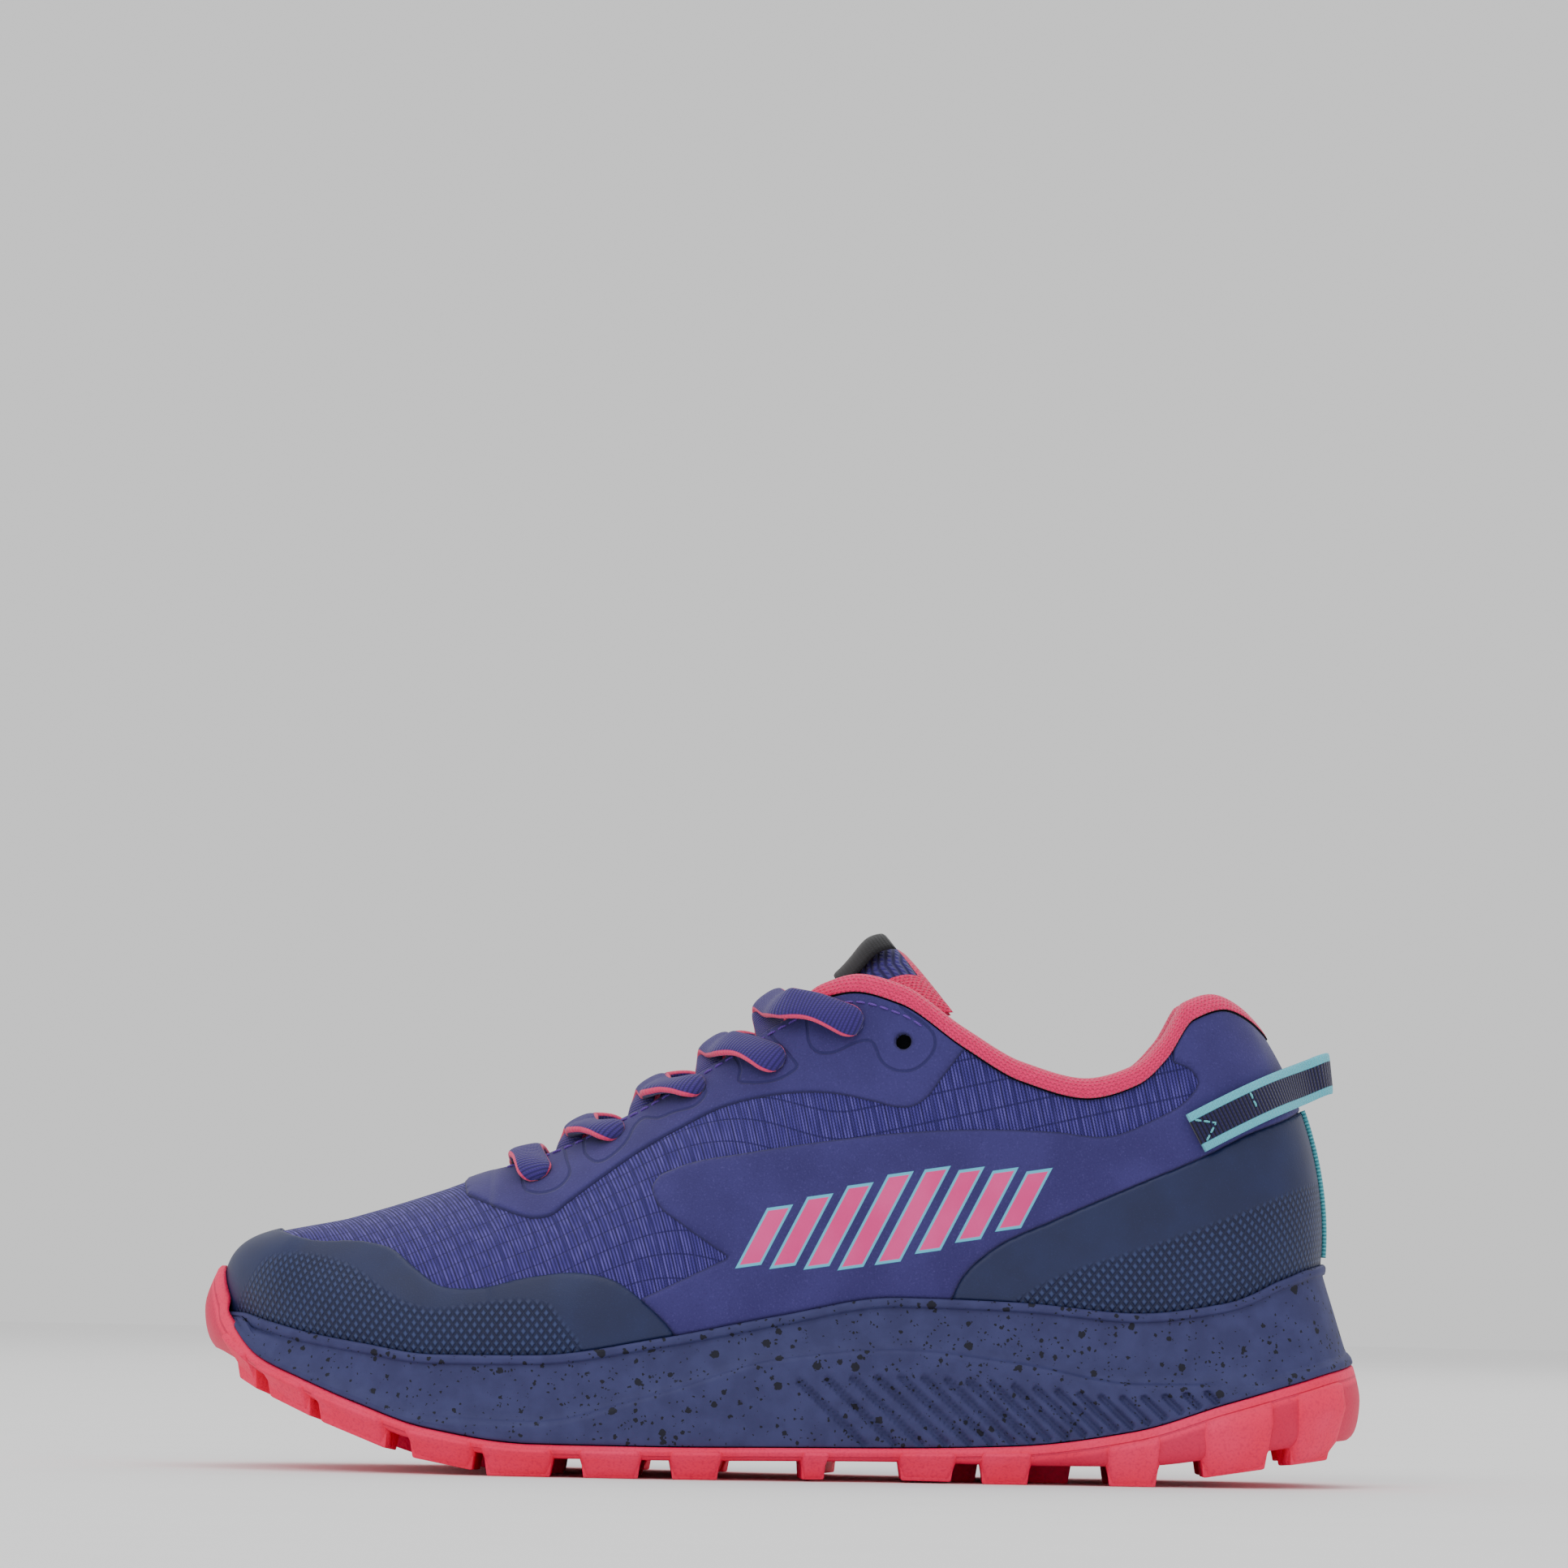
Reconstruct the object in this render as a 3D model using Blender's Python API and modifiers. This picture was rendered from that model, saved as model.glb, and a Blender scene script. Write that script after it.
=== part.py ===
"""Trail running shoe, left foot, standing empty on its sole.

Metres, +Z up. The toe points along -X and the outer (lateral) side faces -Y. The origin is under the
middle of the shoe's box, on the floor. Tables hold shares: a station is a share of LENGTH from the toe,
a side is a share of BALL_WIDTH, and a height is a share of SOLE_HEIGHT or UPPER_HEIGHT.
"""

import math

import bmesh
import bpy
import numpy as np
from mathutils import Vector

# Driving sizes
LENGTH = 0.280
BALL_WIDTH = 0.104
SOLE_HEIGHT = 0.050
UPPER_HEIGHT = 0.120

# Walls, layers and clearances
WALL = 0.0018
OVERLAY = 0.0008
GAP = 0.0004
CUP_GAP = 0.0004
LAYER_GAP = 0.0004
RUBBER = 0.0030
BUMPER_TOP = 0.0012
RIM_LIP = 0.0017
RIM_BAND = 0.0028
FEATHER_STEP = 0.0015
INSOLE_THICK = 0.0040

# Tread
LUG_DEPTH = 0.0042
LUG_TAPER = 0.0011
LUG_SINK = 0.0012
FLAT_REACH = 0.0004
LUG_EDGE = 0.0032
LUG_LEAN = 0.0015
MEDIAL_SHIFT = 0.010
MIDDLE_SWEEP = 0.0030

# How far the lugs reach in from the sole's edge, and the sides of the middle lugs, in shares of BALL_WIDTH
LUG_REACH = (0.154, 0.192)
LUG_REACH_END = 0.125
MIDDLE_SIDES = (0.021, 0.120)

# Ribs of the midsole's side
RIB_COUNT = 19
RIB_ANGLE = math.radians(43)
RIB_WIDTH = 0.0015
RIB_DEPTH = 0.0011

# Upper
BULGE = 0.0015
VAMP_SLOPE = 0.22
THROAT = 0.250
BUMPER_END = 0.020
ROLL_START = 0.515
PAD = 0.0048
PAD_START = 0.66

# Lacing, loop and tape
EYELET_RADIUS = 0.0019
LACE_WIDTH = 0.0085
LACE_THICK = 0.0024
LACE_GAP = 0.0010
LACE_LIFT = (0.0006, 0.0006, 0.0006, 0.0010, 0.0026)
LACE_SWING = 0.40
TONGUE_THICK = 0.0035
TONGUE_TOP_THICK = 0.0070
TONGUE_FREE = 0.531
TONGUE_LEAN = (0.70, 0.45)
TONGUE_SWEEP = 0.0050
LABEL_WIDTH = 0.018
LABEL_THICK = 0.0012
LABEL_SEAT = 0.0009
LABEL_STAND = 0.0022
TUCK_EDGE = 0.55
TUCK_RISE = 0.24
TUCK_GAP = 0.0012
LOOP_WIDTH = 0.0100
LOOP_THICK = 0.0014
LOOP_HUB = 0.900
LOOP_CLEAR = 0.0004
TAPE_WIDTH = 0.0034
TAPE_THICK = 0.0010

# How finely the forms are cut
HALF_RIBS = 25
MIN_RIB_STEP = 0.004
RISES = (0.0, 0.16, 0.34, 0.55, 0.78, 1.0)


def table(columns, *rows):
    """Names the columns of a table of rows."""
    return dict(zip(columns.split(), np.array(rows, float).T))


OUTLINE = table(
    "station lateral medial",
    (0.000, 0.060, 0.060),
    (0.020, -0.130, 0.240),
    (0.075, -0.290, 0.385),
    (0.160, -0.405, 0.475),
    (0.260, -0.475, 0.500),
    (0.360, -0.500, 0.435),
    (0.480, -0.475, 0.325),
    (0.600, -0.425, 0.275),
    (0.720, -0.395, 0.305),
    (0.840, -0.385, 0.335),
    (0.930, -0.335, 0.305),
    (0.980, -0.220, 0.200),
    (1.000, -0.020, -0.020),
)

# Heights of the rubber's top edge, the foam's wave and its rim, shares of SOLE_HEIGHT
SOLE = table(
    "station joint web ridge rim floor",
    (0.000, 0.960, 0.590, 0.724, 0.748, 0.690),
    (0.020, 0.710, 0.560, 0.722, 0.744, 0.680),
    (0.050, 0.536, 0.470, 0.590, 0.706, 0.630),
    (0.090, 0.436, 0.368, 0.490, 0.656, 0.550),
    (0.140, 0.326, 0.254, 0.380, 0.612, 0.460),
    (0.200, 0.218, 0.148, 0.268, 0.568, 0.390),
    (0.290, 0.154, 0.086, 0.250, 0.574, 0.350),
    (0.400, 0.152, 0.086, 0.400, 0.666, 0.360),
    (0.500, 0.158, 0.092, 0.568, 0.780, 0.420),
    (0.600, 0.164, 0.096, 0.620, 0.876, 0.490),
    (0.700, 0.182, 0.088, 0.566, 0.864, 0.540),
    (0.800, 0.260, 0.094, 0.476, 0.822, 0.570),
    (0.880, 0.398, 0.148, 0.480, 0.876, 0.590),
    (0.940, 0.494, 0.200, 0.560, 0.990, 0.600),
    (0.980, 0.556, 0.226, 0.620, 1.050, 0.600),
    (1.000, 0.588, 0.232, 0.660, 1.070, 0.600),
)

# How far each edge stands in from the outline, in shares of BALL_WIDTH
INSETS = table(
    "station joint cup ridge rim",
    (0.000, 0.034, 0.026, 0.030, 0.032),
    (0.020, 0.015, 0.030, 0.036, 0.040),
    (0.050, 0.008, 0.037, 0.015, 0.035),
    (0.140, 0.006, 0.035, 0.010, 0.031),
    (0.290, 0.006, 0.035, 0.009, 0.035),
    (0.500, 0.006, 0.035, 0.015, 0.042),
    (0.700, 0.006, 0.035, 0.017, 0.048),
    (0.880, 0.012, 0.039, 0.021, 0.062),
    (0.940, 0.015, 0.043, 0.027, 0.071),
    (1.000, 0.019, 0.048, 0.033, 0.086),
)

# Where each rib of the upper ends: place, half gap from the centre line, height, and its curve
UPPER = table(
    "station top half height lift over dip",
    (0.000, 0.129, 0.000, 0.504, 0.86, 0.72, 0.00),
    (0.050, 0.129, 0.000, 0.504, 0.86, 0.72, 0.00),
    (0.100, 0.136, 0.000, 0.510, 0.68, 0.58, 0.00),
    (0.140, 0.161, 0.000, 0.528, 0.60, 0.55, 0.00),
    (0.200, 0.207, 0.000, 0.564, 0.55, 0.55, 0.00),
    (0.245, 0.248, 0.000, 0.599, 0.52, 0.55, 0.02),
    (0.255, 0.255, 0.070, 0.602, 0.52, 0.52, 0.04),
    (0.290, 0.295, 0.091, 0.632, 0.50, 0.50, 0.10),
    (0.360, 0.368, 0.101, 0.716, 0.47, 0.50, 0.12),
    (0.430, 0.439, 0.115, 0.818, 0.45, 0.50, 0.13),
    (0.490, 0.500, 0.144, 0.910, 0.44, 0.48, 0.15),
    (0.530, 0.532, 0.178, 0.952, 0.43, 0.44, 0.18),
    (0.560, 0.559, 0.207, 0.966, 0.42, 0.40, 0.22),
    (0.600, 0.596, 0.240, 0.945, 0.41, 0.34, 0.26),
    (0.650, 0.650, 0.269, 0.861, 0.40, 0.28, 0.28),
    (0.700, 0.700, 0.284, 0.795, 0.40, 0.25, 0.30),
    (0.760, 0.755, 0.288, 0.764, 0.40, 0.25, 0.30),
    (0.810, 0.798, 0.277, 0.792, 0.40, 0.30, 0.30),
    (0.850, 0.823, 0.260, 0.845, 0.40, 0.40, 0.30),
    (0.890, 0.846, 0.236, 0.925, 0.40, 0.50, 0.30),
    (0.930, 0.871, 0.197, 0.945, 0.38, 0.60, 0.30),
    (0.970, 0.896, 0.130, 0.920, 0.36, 0.66, 0.29),
    (1.000, 0.912, 0.000, 0.888, 0.35, 0.70, 0.28),
)

# Edges of the overlays seen from the side: station, share of UPPER_HEIGHT
CAP_EDGE = (
    (0.068, 0.472), (0.096, 0.456), (0.146, 0.454), (0.166, 0.443), (0.187, 0.406), (0.209, 0.372),
    (0.236, 0.367), (0.286, 0.392), (0.329, 0.402), (0.357, 0.389), (0.380, 0.353), (0.409, 0.283),
    (0.413, 0.100),
)
COUNTER_EDGE = (
    (0.639, 0.100), (0.645, 0.371), (0.651, 0.402), (0.661, 0.431), (0.682, 0.470), (0.729, 0.523), (0.793, 0.590),
    (0.859, 0.658), (0.893, 0.700), (0.932, 0.738), (0.950, 0.762),
    (1.050, 0.820),
)
PANEL_FRONT = (
    (0.829, 0.843), (0.846, 0.824), (0.851, 0.801), (0.846, 0.780), (0.836, 0.757), (0.814, 0.728),
    (0.777, 0.693), (0.729, 0.699), (0.664, 0.701), (0.611, 0.694), (0.516, 0.665), (0.471, 0.647),
    (0.407, 0.612), (0.393, 0.595), (0.388, 0.574), (0.394, 0.537), (0.411, 0.506), (0.454, 0.438),
)
EYESTAY_EDGE = (
    (0.228, 0.552), (0.264, 0.521), (0.286, 0.508), (0.300, 0.512), (0.318, 0.544), (0.346, 0.594),
    (0.379, 0.649), (0.411, 0.693), (0.446, 0.735), (0.482, 0.758), (0.511, 0.767), (0.539, 0.767),
    (0.575, 0.752), (0.596, 0.742), (0.607, 0.744), (0.618, 0.759), (0.632, 0.801), (0.648, 0.851),
)
EYELETS = table(
    "station height",
    (0.288, 0.595),
    (0.350, 0.675),
    (0.419, 0.766),
    (0.486, 0.830),
    (0.550, 0.911),
    (0.599, 0.873),
)

# Where each lace crosses the middle line, the front bar first
LACE_CROSSINGS = (0.276, 0.322, 0.383, 0.436, 0.482)

# Crown of the tongue, its half width, and how far its wings drop across the instep
TONGUE = table(
    "station height half drop",
    (0.236, 0.565, 0.130, 0.020),
    (0.279, 0.612, 0.160, 0.035),
    (0.354, 0.704, 0.185, 0.060),
    (0.429, 0.812, 0.200, 0.090),
    (0.486, 0.905, 0.200, 0.115),
    (0.529, 0.979, 0.175, 0.140),
    (0.556, 1.028, 0.170, 0.150),
    (0.575, 1.060, 0.165, 0.155),
    (0.586, 1.066, 0.160, 0.155),
    (0.600, 1.059, 0.150, 0.150),
)

# Lugs of the sole's edge, front and back end, and of its middle
EDGE_LUGS = (
    (0.022, 0.042), (0.052, 0.094), (0.100, 0.164), (0.182, 0.240), (0.247, 0.308), (0.331, 0.384),
    (0.408, 0.452), (0.520, 0.542), (0.602, 0.650), (0.671, 0.714), (0.777, 0.823), (0.859, 0.920),
    (0.940, 0.982),
)
MIDDLE_LUGS = (
    (0.085, 0.118), (0.142, 0.182), (0.205, 0.245), (0.268, 0.308), (0.335, 0.375),
    (0.625, 0.660), (0.700, 0.740), (0.775, 0.815), (0.855, 0.890),
)

# Pull loop: the points where its band lies on the upper, and its free middle line round the heel
LOOP_SEATS = ((0.848, 0.700), (0.870, 0.728), (0.894, 0.757), (0.914, 0.779))
LOOP = table(
    "station side height",
    (0.944, 0.098, 0.808),
    (0.962, 0.055, 0.826),
    (0.968, 0.000, 0.830),
)


def angle_of(station):
    """Angle that spaces stations closely at toe and heel, from 0 at the toe to pi at the heel."""
    return np.arccos(1.0 - 2.0 * np.clip(station, 0.0, 1.0))


def hermite(knots, values, slopes, at):
    """Cubic between knots that has the given slope at each of them."""
    low = np.clip(np.searchsorted(knots, at) - 1, 0, len(knots) - 2)
    gap = knots[low + 1] - knots[low]
    t = np.clip((at - knots[low]) / gap, 0.0, 1.0)
    rise = values[low + 1] - values[low]
    lean = gap * (slopes[low] * t * (1 - t) ** 2 - slopes[low + 1] * t * t * (1 - t))
    return values[low] + rise * t * t * (3 - 2 * t) + lean


def smooth(knots, values, at, flat_ends=True):
    """Smooth curve through the values that never swings past them."""
    secants = np.diff(values) / np.diff(knots)
    before, after = secants[:-1], secants[1:]
    same_way = before * after > 0
    slopes = np.zeros(len(values))
    slopes[1:-1][same_way] = 2 * (before * after)[same_way] / (before + after)[same_way]
    if not flat_ends:
        slopes[0], slopes[-1] = secants[0], secants[-1]
    return hermite(knots, values, slopes, at)


def column(rows, name, station, flat_ends=True):
    """Value of a table's column at any station."""
    return smooth(angle_of(rows["station"]), rows[name], angle_of(station), flat_ends)


def place(station):
    """X of a station."""
    return (station - 0.5) * LENGTH


def station_at(x):
    """Station of an X."""
    return x / LENGTH + 0.5


def plan(theta):
    """Point of the sole's outline seen from above: lateral side first, then the medial side."""
    knots = angle_of(OUTLINE["station"])
    around = np.concatenate([knots, 2 * math.pi - knots[-2:0:-1]])
    sides = np.concatenate([OUTLINE["lateral"], OUTLINE["medial"][-2:0:-1]])
    knots = np.concatenate([around[-2:] - 2 * math.pi, around, around[:3] + 2 * math.pi])
    sides = np.concatenate([sides[-2:], sides, sides[:3]])
    theta = np.mod(theta, 2 * math.pi)
    side = hermite(knots, sides, np.gradient(sides, knots), theta)
    return np.stack([-0.5 * LENGTH * np.cos(theta), BALL_WIDTH * side], -1)


def outward(theta):
    """Unit vector square to the outline, pointing away from the shoe."""
    tangent = plan(theta + 1e-4) - plan(theta - 1e-4)
    tangent /= np.linalg.norm(tangent, axis=-1, keepdims=True)
    return np.stack([tangent[..., 1], -tangent[..., 0]], -1)


def edge(theta, inset):
    """Point that stands in from the outline."""
    return plan(theta) - outward(theta) * np.asarray(inset)[..., None]


def centre(station):
    """Y of the line halfway between the two sides."""
    theta = angle_of(station)
    return 0.5 * (plan(theta)[..., 1] + plan(-theta)[..., 1])


def rib_angles():
    """Angles of the ribs round the shoe, with ribs at the bumper's end and both sides of the throat's front."""
    needed = [BUMPER_END, THROAT - 0.005, THROAT + 0.005]
    even = [0.5 * (1 - math.cos(math.pi * k / HALF_RIBS)) for k in range(HALF_RIBS + 1)]
    kept = [s for s in even if all(abs(s - n) > MIN_RIB_STEP for n in needed)]
    half = angle_of(np.array(sorted(kept + needed)))
    return np.concatenate([half, 2 * math.pi - half[-2:0:-1]])


THETA = rib_angles()
STATION = 0.5 * (1 - np.cos(THETA))


def sole(name, station=STATION):
    """Height of one of the sole's edges at a station."""
    return SOLE_HEIGHT * column(SOLE, name, station)


def inset_of(name, station=STATION):
    """Distance of one of the sole's edges from the outline at a station."""
    return BALL_WIDTH * column(INSETS, name, station)


def web(x):
    """Height of the outsole's underside between the lugs."""
    return sole("web", station_at(x))


def web_top(x):
    """Height of the outsole's upper face."""
    return web(x) + RUBBER


def footbed(x):
    """Height of the midsole's floor."""
    return sole("floor", station_at(x))


def level(inset, height):
    """Ring of points round the shoe, at a height or at a height worked out from each point's X."""
    points = edge(THETA, np.broadcast_to(inset, THETA.shape))
    tall = height(points[:, 0]) if callable(height) else np.broadcast_to(height, THETA.shape)
    return np.column_stack([points, tall])


def spine(height):
    """Ring that closes a form along its middle line."""
    station = np.clip(STATION, 0.16, 0.86)
    x = place(station)
    return np.column_stack([x, centre(station), height(x)])


def feather(station):
    """Inset of the upper where it leaves the midsole's rim."""
    return inset_of("rim", station) + RIM_LIP + CUP_GAP


def skin(theta, rise):
    """Point of the upper's outside. Rise goes from -1 at the footbed, through 0 at the rim, to 1 at the top."""
    theta, rise = np.broadcast_arrays(np.asarray(theta, float), np.asarray(rise, float))
    station = 0.5 * (1 - np.cos(theta))
    lateral = np.where(np.mod(theta, 2 * math.pi) <= math.pi, -1.0, 1.0)
    rim = edge(theta, feather(station))
    start = np.concatenate([rim, sole("rim", station)[..., None]], -1)
    foot = edge(theta, feather(station) + FEATHER_STEP)
    foot = np.concatenate([foot, (footbed(foot[..., 0]) + GAP)[..., None]], -1)

    top_station = column(UPPER, "top", station)
    half = BALL_WIDTH * column(UPPER, "half", station, flat_ends=False)
    end = np.stack(
        [place(top_station), centre(top_station) + lateral * half, UPPER_HEIGHT * column(UPPER, "height", station)],
        -1,
    )
    tall = end[..., 2] - start[..., 2]
    first = start.copy()
    first[..., :2] += BULGE * outward(theta)
    first[..., 2] += column(UPPER, "lift", station) * tall
    second = end.copy()
    reach = column(UPPER, "over", station)[..., None] * (start - end)[..., :2]
    second[..., :2] += reach
    slope = np.where(station < THROAT, VAMP_SLOPE, 0.0)
    second[..., 2] += slope * reach[..., 0] - column(UPPER, "dip", station) * tall

    t = np.clip(rise, 0.0, 1.0)[..., None]
    arch = start * (1 - t) ** 3 + 3 * first * t * (1 - t) ** 2 + 3 * second * t * t * (1 - t) + end * t ** 3
    low = np.clip(-rise, 0.0, 1.0)[..., None]
    return np.where(rise[..., None] < 0, start + (foot - start) * low, arch)


def skin_frame(theta, rise):
    """Outward normal and upward tangent of the upper at a point above its rim."""
    step = 1e-3
    rise = np.clip(rise, 0.02, 0.985)
    around = skin(np.asarray(theta) + step, rise) - skin(np.asarray(theta) - step, rise)
    up = skin(theta, rise + 0.01) - skin(theta, rise - 0.01)
    normal = np.cross(around, up)
    normal /= np.linalg.norm(normal, axis=-1, keepdims=True)
    return normal, up / np.linalg.norm(up, axis=-1, keepdims=True)


def skin_off(theta, rise, distance):
    """Point at a distance outside the upper, or inside where the distance is negative."""
    theta, rise = np.broadcast_arrays(np.asarray(theta, float), np.asarray(rise, float))
    normal, _ = skin_frame(theta, rise)
    station = 0.5 * (1 - np.cos(theta))
    ridge = (station < THROAT) & (rise > 0.999)
    normal[ridge] = Vector((-VAMP_SLOPE, 0, 1)).normalized()
    return skin(theta, rise) + normal * np.asarray(distance)[..., None]


def locate(station, height):
    """Rib angle and rise of the lateral point that the side view shows at a station and a height."""
    low, high = np.array([0.05, 0.0]), np.array([math.pi - 0.05, 1.0])
    goal = np.array([place(station), height * UPPER_HEIGHT])
    for _ in range(6):
        theta, rise = np.meshgrid(np.linspace(low[0], high[0], 41), np.linspace(low[1], high[1], 41))
        miss = np.linalg.norm(skin(theta, rise)[..., [0, 2]] - goal, axis=-1)
        best = np.unravel_index(np.argmin(miss), miss.shape)
        found = np.array([theta[best], rise[best]])
        span = 0.15 * (high - low)
        low, high = np.maximum(found - span, 0.0), np.minimum(found + span, [math.pi, 1.0])
    return found


def material(name, colour, roughness):
    """Principled material of a plain colour."""
    made = bpy.data.materials.new(name)
    made.use_nodes = True
    shader = made.node_tree.nodes["Principled BSDF"]
    shader.inputs["Base Color"].default_value = (*colour, 1.0)
    shader.inputs["Roughness"].default_value = roughness
    shader.inputs["Metallic"].default_value = 0.0
    return made


def add_object(name, points, faces, group, finish=None):
    """Object whose coinciding points are welded and whose faces point outwards."""
    mesh = bpy.data.meshes.new(name)
    mesh.from_pydata([tuple(p) for p in np.asarray(points).reshape(-1, 3)], [], faces)
    work = bmesh.new()
    work.from_mesh(mesh)
    bmesh.ops.remove_doubles(work, verts=work.verts, dist=2e-6)
    if all(e.is_manifold for e in work.edges):
        bmesh.ops.recalc_face_normals(work, faces=work.faces)
    work.to_mesh(mesh)
    work.free()
    made = bpy.data.objects.new(name, mesh)
    group.objects.link(made)
    if finish:
        mesh.materials.append(finish)
    return made


def grid_faces(rows, columns, wrap):
    """Triangles of a grid of points, closed round its columns if wrap is set."""
    last = columns if wrap else columns - 1
    faces = []
    for r in range(rows - 1):
        for c in range(last):
            d = (c + 1) % columns
            here, beside = r * columns + c, r * columns + d
            faces += [(here, beside, beside + columns), (here, beside + columns, here + columns)]
    return faces


def ring_loft(name, rings, group, finish):
    """Closed form through rings from its lower spine, over its edge, to its upper spine."""
    return add_object(name, np.array(rings), grid_faces(len(rings), len(THETA), True), group, finish)


def slab(name, outer, inner, group, finish=None):
    """Closed form between two grids of points of the same size."""
    rows, columns = outer.shape[:2]
    count = rows * columns
    faces = grid_faces(rows, columns, False)
    faces += [tuple(count + k for k in reversed(face)) for face in faces]
    rim = [c for c in range(columns)]
    rim += [r * columns + columns - 1 for r in range(1, rows)]
    rim += [(rows - 1) * columns + c for c in range(columns - 2, -1, -1)]
    rim += [r * columns for r in range(rows - 2, 0, -1)]
    for a, b in zip(rim, rim[1:] + rim[:1]):
        faces.append((b, a, count + a, count + b))
    return add_object(name, np.concatenate([outer.reshape(-1, 3), inner.reshape(-1, 3)]), faces, group, finish)


def band(name, path, across, width, thick, group, finish=None):
    """Flat band along a path, its width lying across."""
    path, across = np.asarray(path, float), np.asarray(across, float)
    along = np.gradient(path, axis=0)
    across = across / np.linalg.norm(across, axis=-1, keepdims=True)
    face = np.cross(along, across)
    face /= np.linalg.norm(face, axis=-1, keepdims=True)
    edges = np.stack([path - across * width / 2, path + across * width / 2], 1)
    lift = face[:, None] * thick / 2
    return slab(name, edges + lift, edges - lift, group, finish)


def prism(name, outline, low, high, group):
    """Cutter: a side view outline of stations and heights, drawn from one side to the other."""
    corners = [Vector((place(s), low, h * UPPER_HEIGHT)) for s, h in outline]
    work = bmesh.new()
    face = work.faces.new([work.verts.new(c) for c in corners])
    grown = bmesh.ops.extrude_face_region(work, geom=[face])
    moved = [v for v in grown["geom"] if isinstance(v, bmesh.types.BMVert)]
    bmesh.ops.translate(work, verts=moved, vec=Vector((0, high - low, 0)))
    bmesh.ops.recalc_face_normals(work, faces=work.faces)
    mesh = bpy.data.meshes.new(name)
    work.to_mesh(mesh)
    work.free()
    made = bpy.data.objects.new(name, mesh)
    group.objects.link(made)
    return made


def joined(name, objects, group):
    """One object that holds the separate bodies of several, which are then removed."""
    work = bmesh.new()
    for one in objects:
        work.from_mesh(one.data)
        bpy.data.objects.remove(one)
    mesh = bpy.data.meshes.new(name)
    work.to_mesh(mesh)
    work.free()
    made = bpy.data.objects.new(name, mesh)
    group.objects.link(made)
    return made


def combine(target, tool, operation):
    """Boolean of a target with a tool that is hidden."""
    tool.hide_render = True
    tool.display_type = "WIRE"
    change = target.modifiers.new(tool.name, "BOOLEAN")
    change.operation = operation
    change.solver = "EXACT"
    change.object = tool


def build_outsole(parts, cutters, finish):
    """Rubber sheet that wraps toe and heel, with its lugs."""
    joint, cup, top_in = sole("joint"), inset_of("cup"), inset_of("joint")
    flat = level(0.009, web)
    lower = level(0.0022, lambda x: web(x) + 0.0008)
    outer = level(0.0003, 0.5 * (lower[:, 2] + joint))
    inner = level(cup, web_top)
    rings = [
        spine(web),
        flat,
        lower,
        outer,
        level(top_in, joint),
        level(np.maximum(cup, top_in + BUMPER_TOP), joint),
        level(cup, 0.5 * (inner[:, 2] + joint)),
        level(cup + CUP_GAP, web_top),
        spine(web_top),
    ]
    outsole = ring_loft("outsole", rings, parts, finish)
    lugs = [one for k, ends in enumerate(EDGE_LUGS) for one in edge_lugs(k, ends, cutters)]
    lugs += [one for k, ends in enumerate(MIDDLE_LUGS) for one in middle_lugs(k, ends, cutters)]
    combine(outsole, joined("lugs", lugs, cutters), "UNION")


def lug(name, corners, group):
    """Lug under a plan outline: wide where it leaves the web, narrower at the tread face."""
    corners = np.array(corners)
    middle = corners.mean(0)
    base = np.column_stack([corners, web(corners[:, 0]) + LUG_SINK])
    away = corners - middle
    tip = corners - away / np.linalg.norm(away, axis=1, keepdims=True) * LUG_TAPER
    height = web(tip[:, 0]) - LUG_DEPTH
    height = np.where(height < FLAT_REACH, 0.0, height)
    if np.any(height == 0.0):
        height[:] = 0.0
    tip = np.column_stack([tip, height])
    order = [0, 1, 3, 2]
    return slab(name, base[order].reshape(2, 2, 3), tip[order].reshape(2, 2, 3), group)


def edge_lugs(number, ends, group):
    """The lateral and the medial lug between two stations, along the sole's edge."""
    made = []
    between_ends = 0 < number < len(EDGE_LUGS) - 1
    for name, turn in (("lateral", 1), ("medial", -1)):
        shift = MEDIAL_SHIFT if turn < 0 and between_ends else 0.0
        theta = turn * angle_of(np.array(ends) + shift)
        outer = edge(theta, LUG_EDGE)
        inner = edge(theta, BALL_WIDTH * (LUG_REACH[number % 2] if between_ends else LUG_REACH_END))
        corners = [outer[0], outer[1], inner[1] - [LUG_LEAN, 0.0], inner[0] + [LUG_LEAN, 0.0]]
        made.append(lug(f"lug_{name}_{number + 1}", corners, group))
    return made


def middle_lugs(number, ends, group):
    """Two lugs that point forwards, either side of the middle line."""
    made = []
    front, back = ends
    x0, x1, middle = place(front), place(back), float(centre(np.array((front + back) / 2)))
    near, far = (BALL_WIDTH * side for side in MIDDLE_SIDES)
    for name, turn in (("lateral", -1), ("medial", 1)):
        corners = [
            (x0, middle + turn * near),
            (x1, middle + turn * near),
            (x1 + MIDDLE_SWEEP, middle + turn * far),
            (x0 + MIDDLE_SWEEP, middle + turn * far),
        ]
        made.append(lug(f"lug_middle_{name}_{number + 1}", corners, group))
    return made


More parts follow.
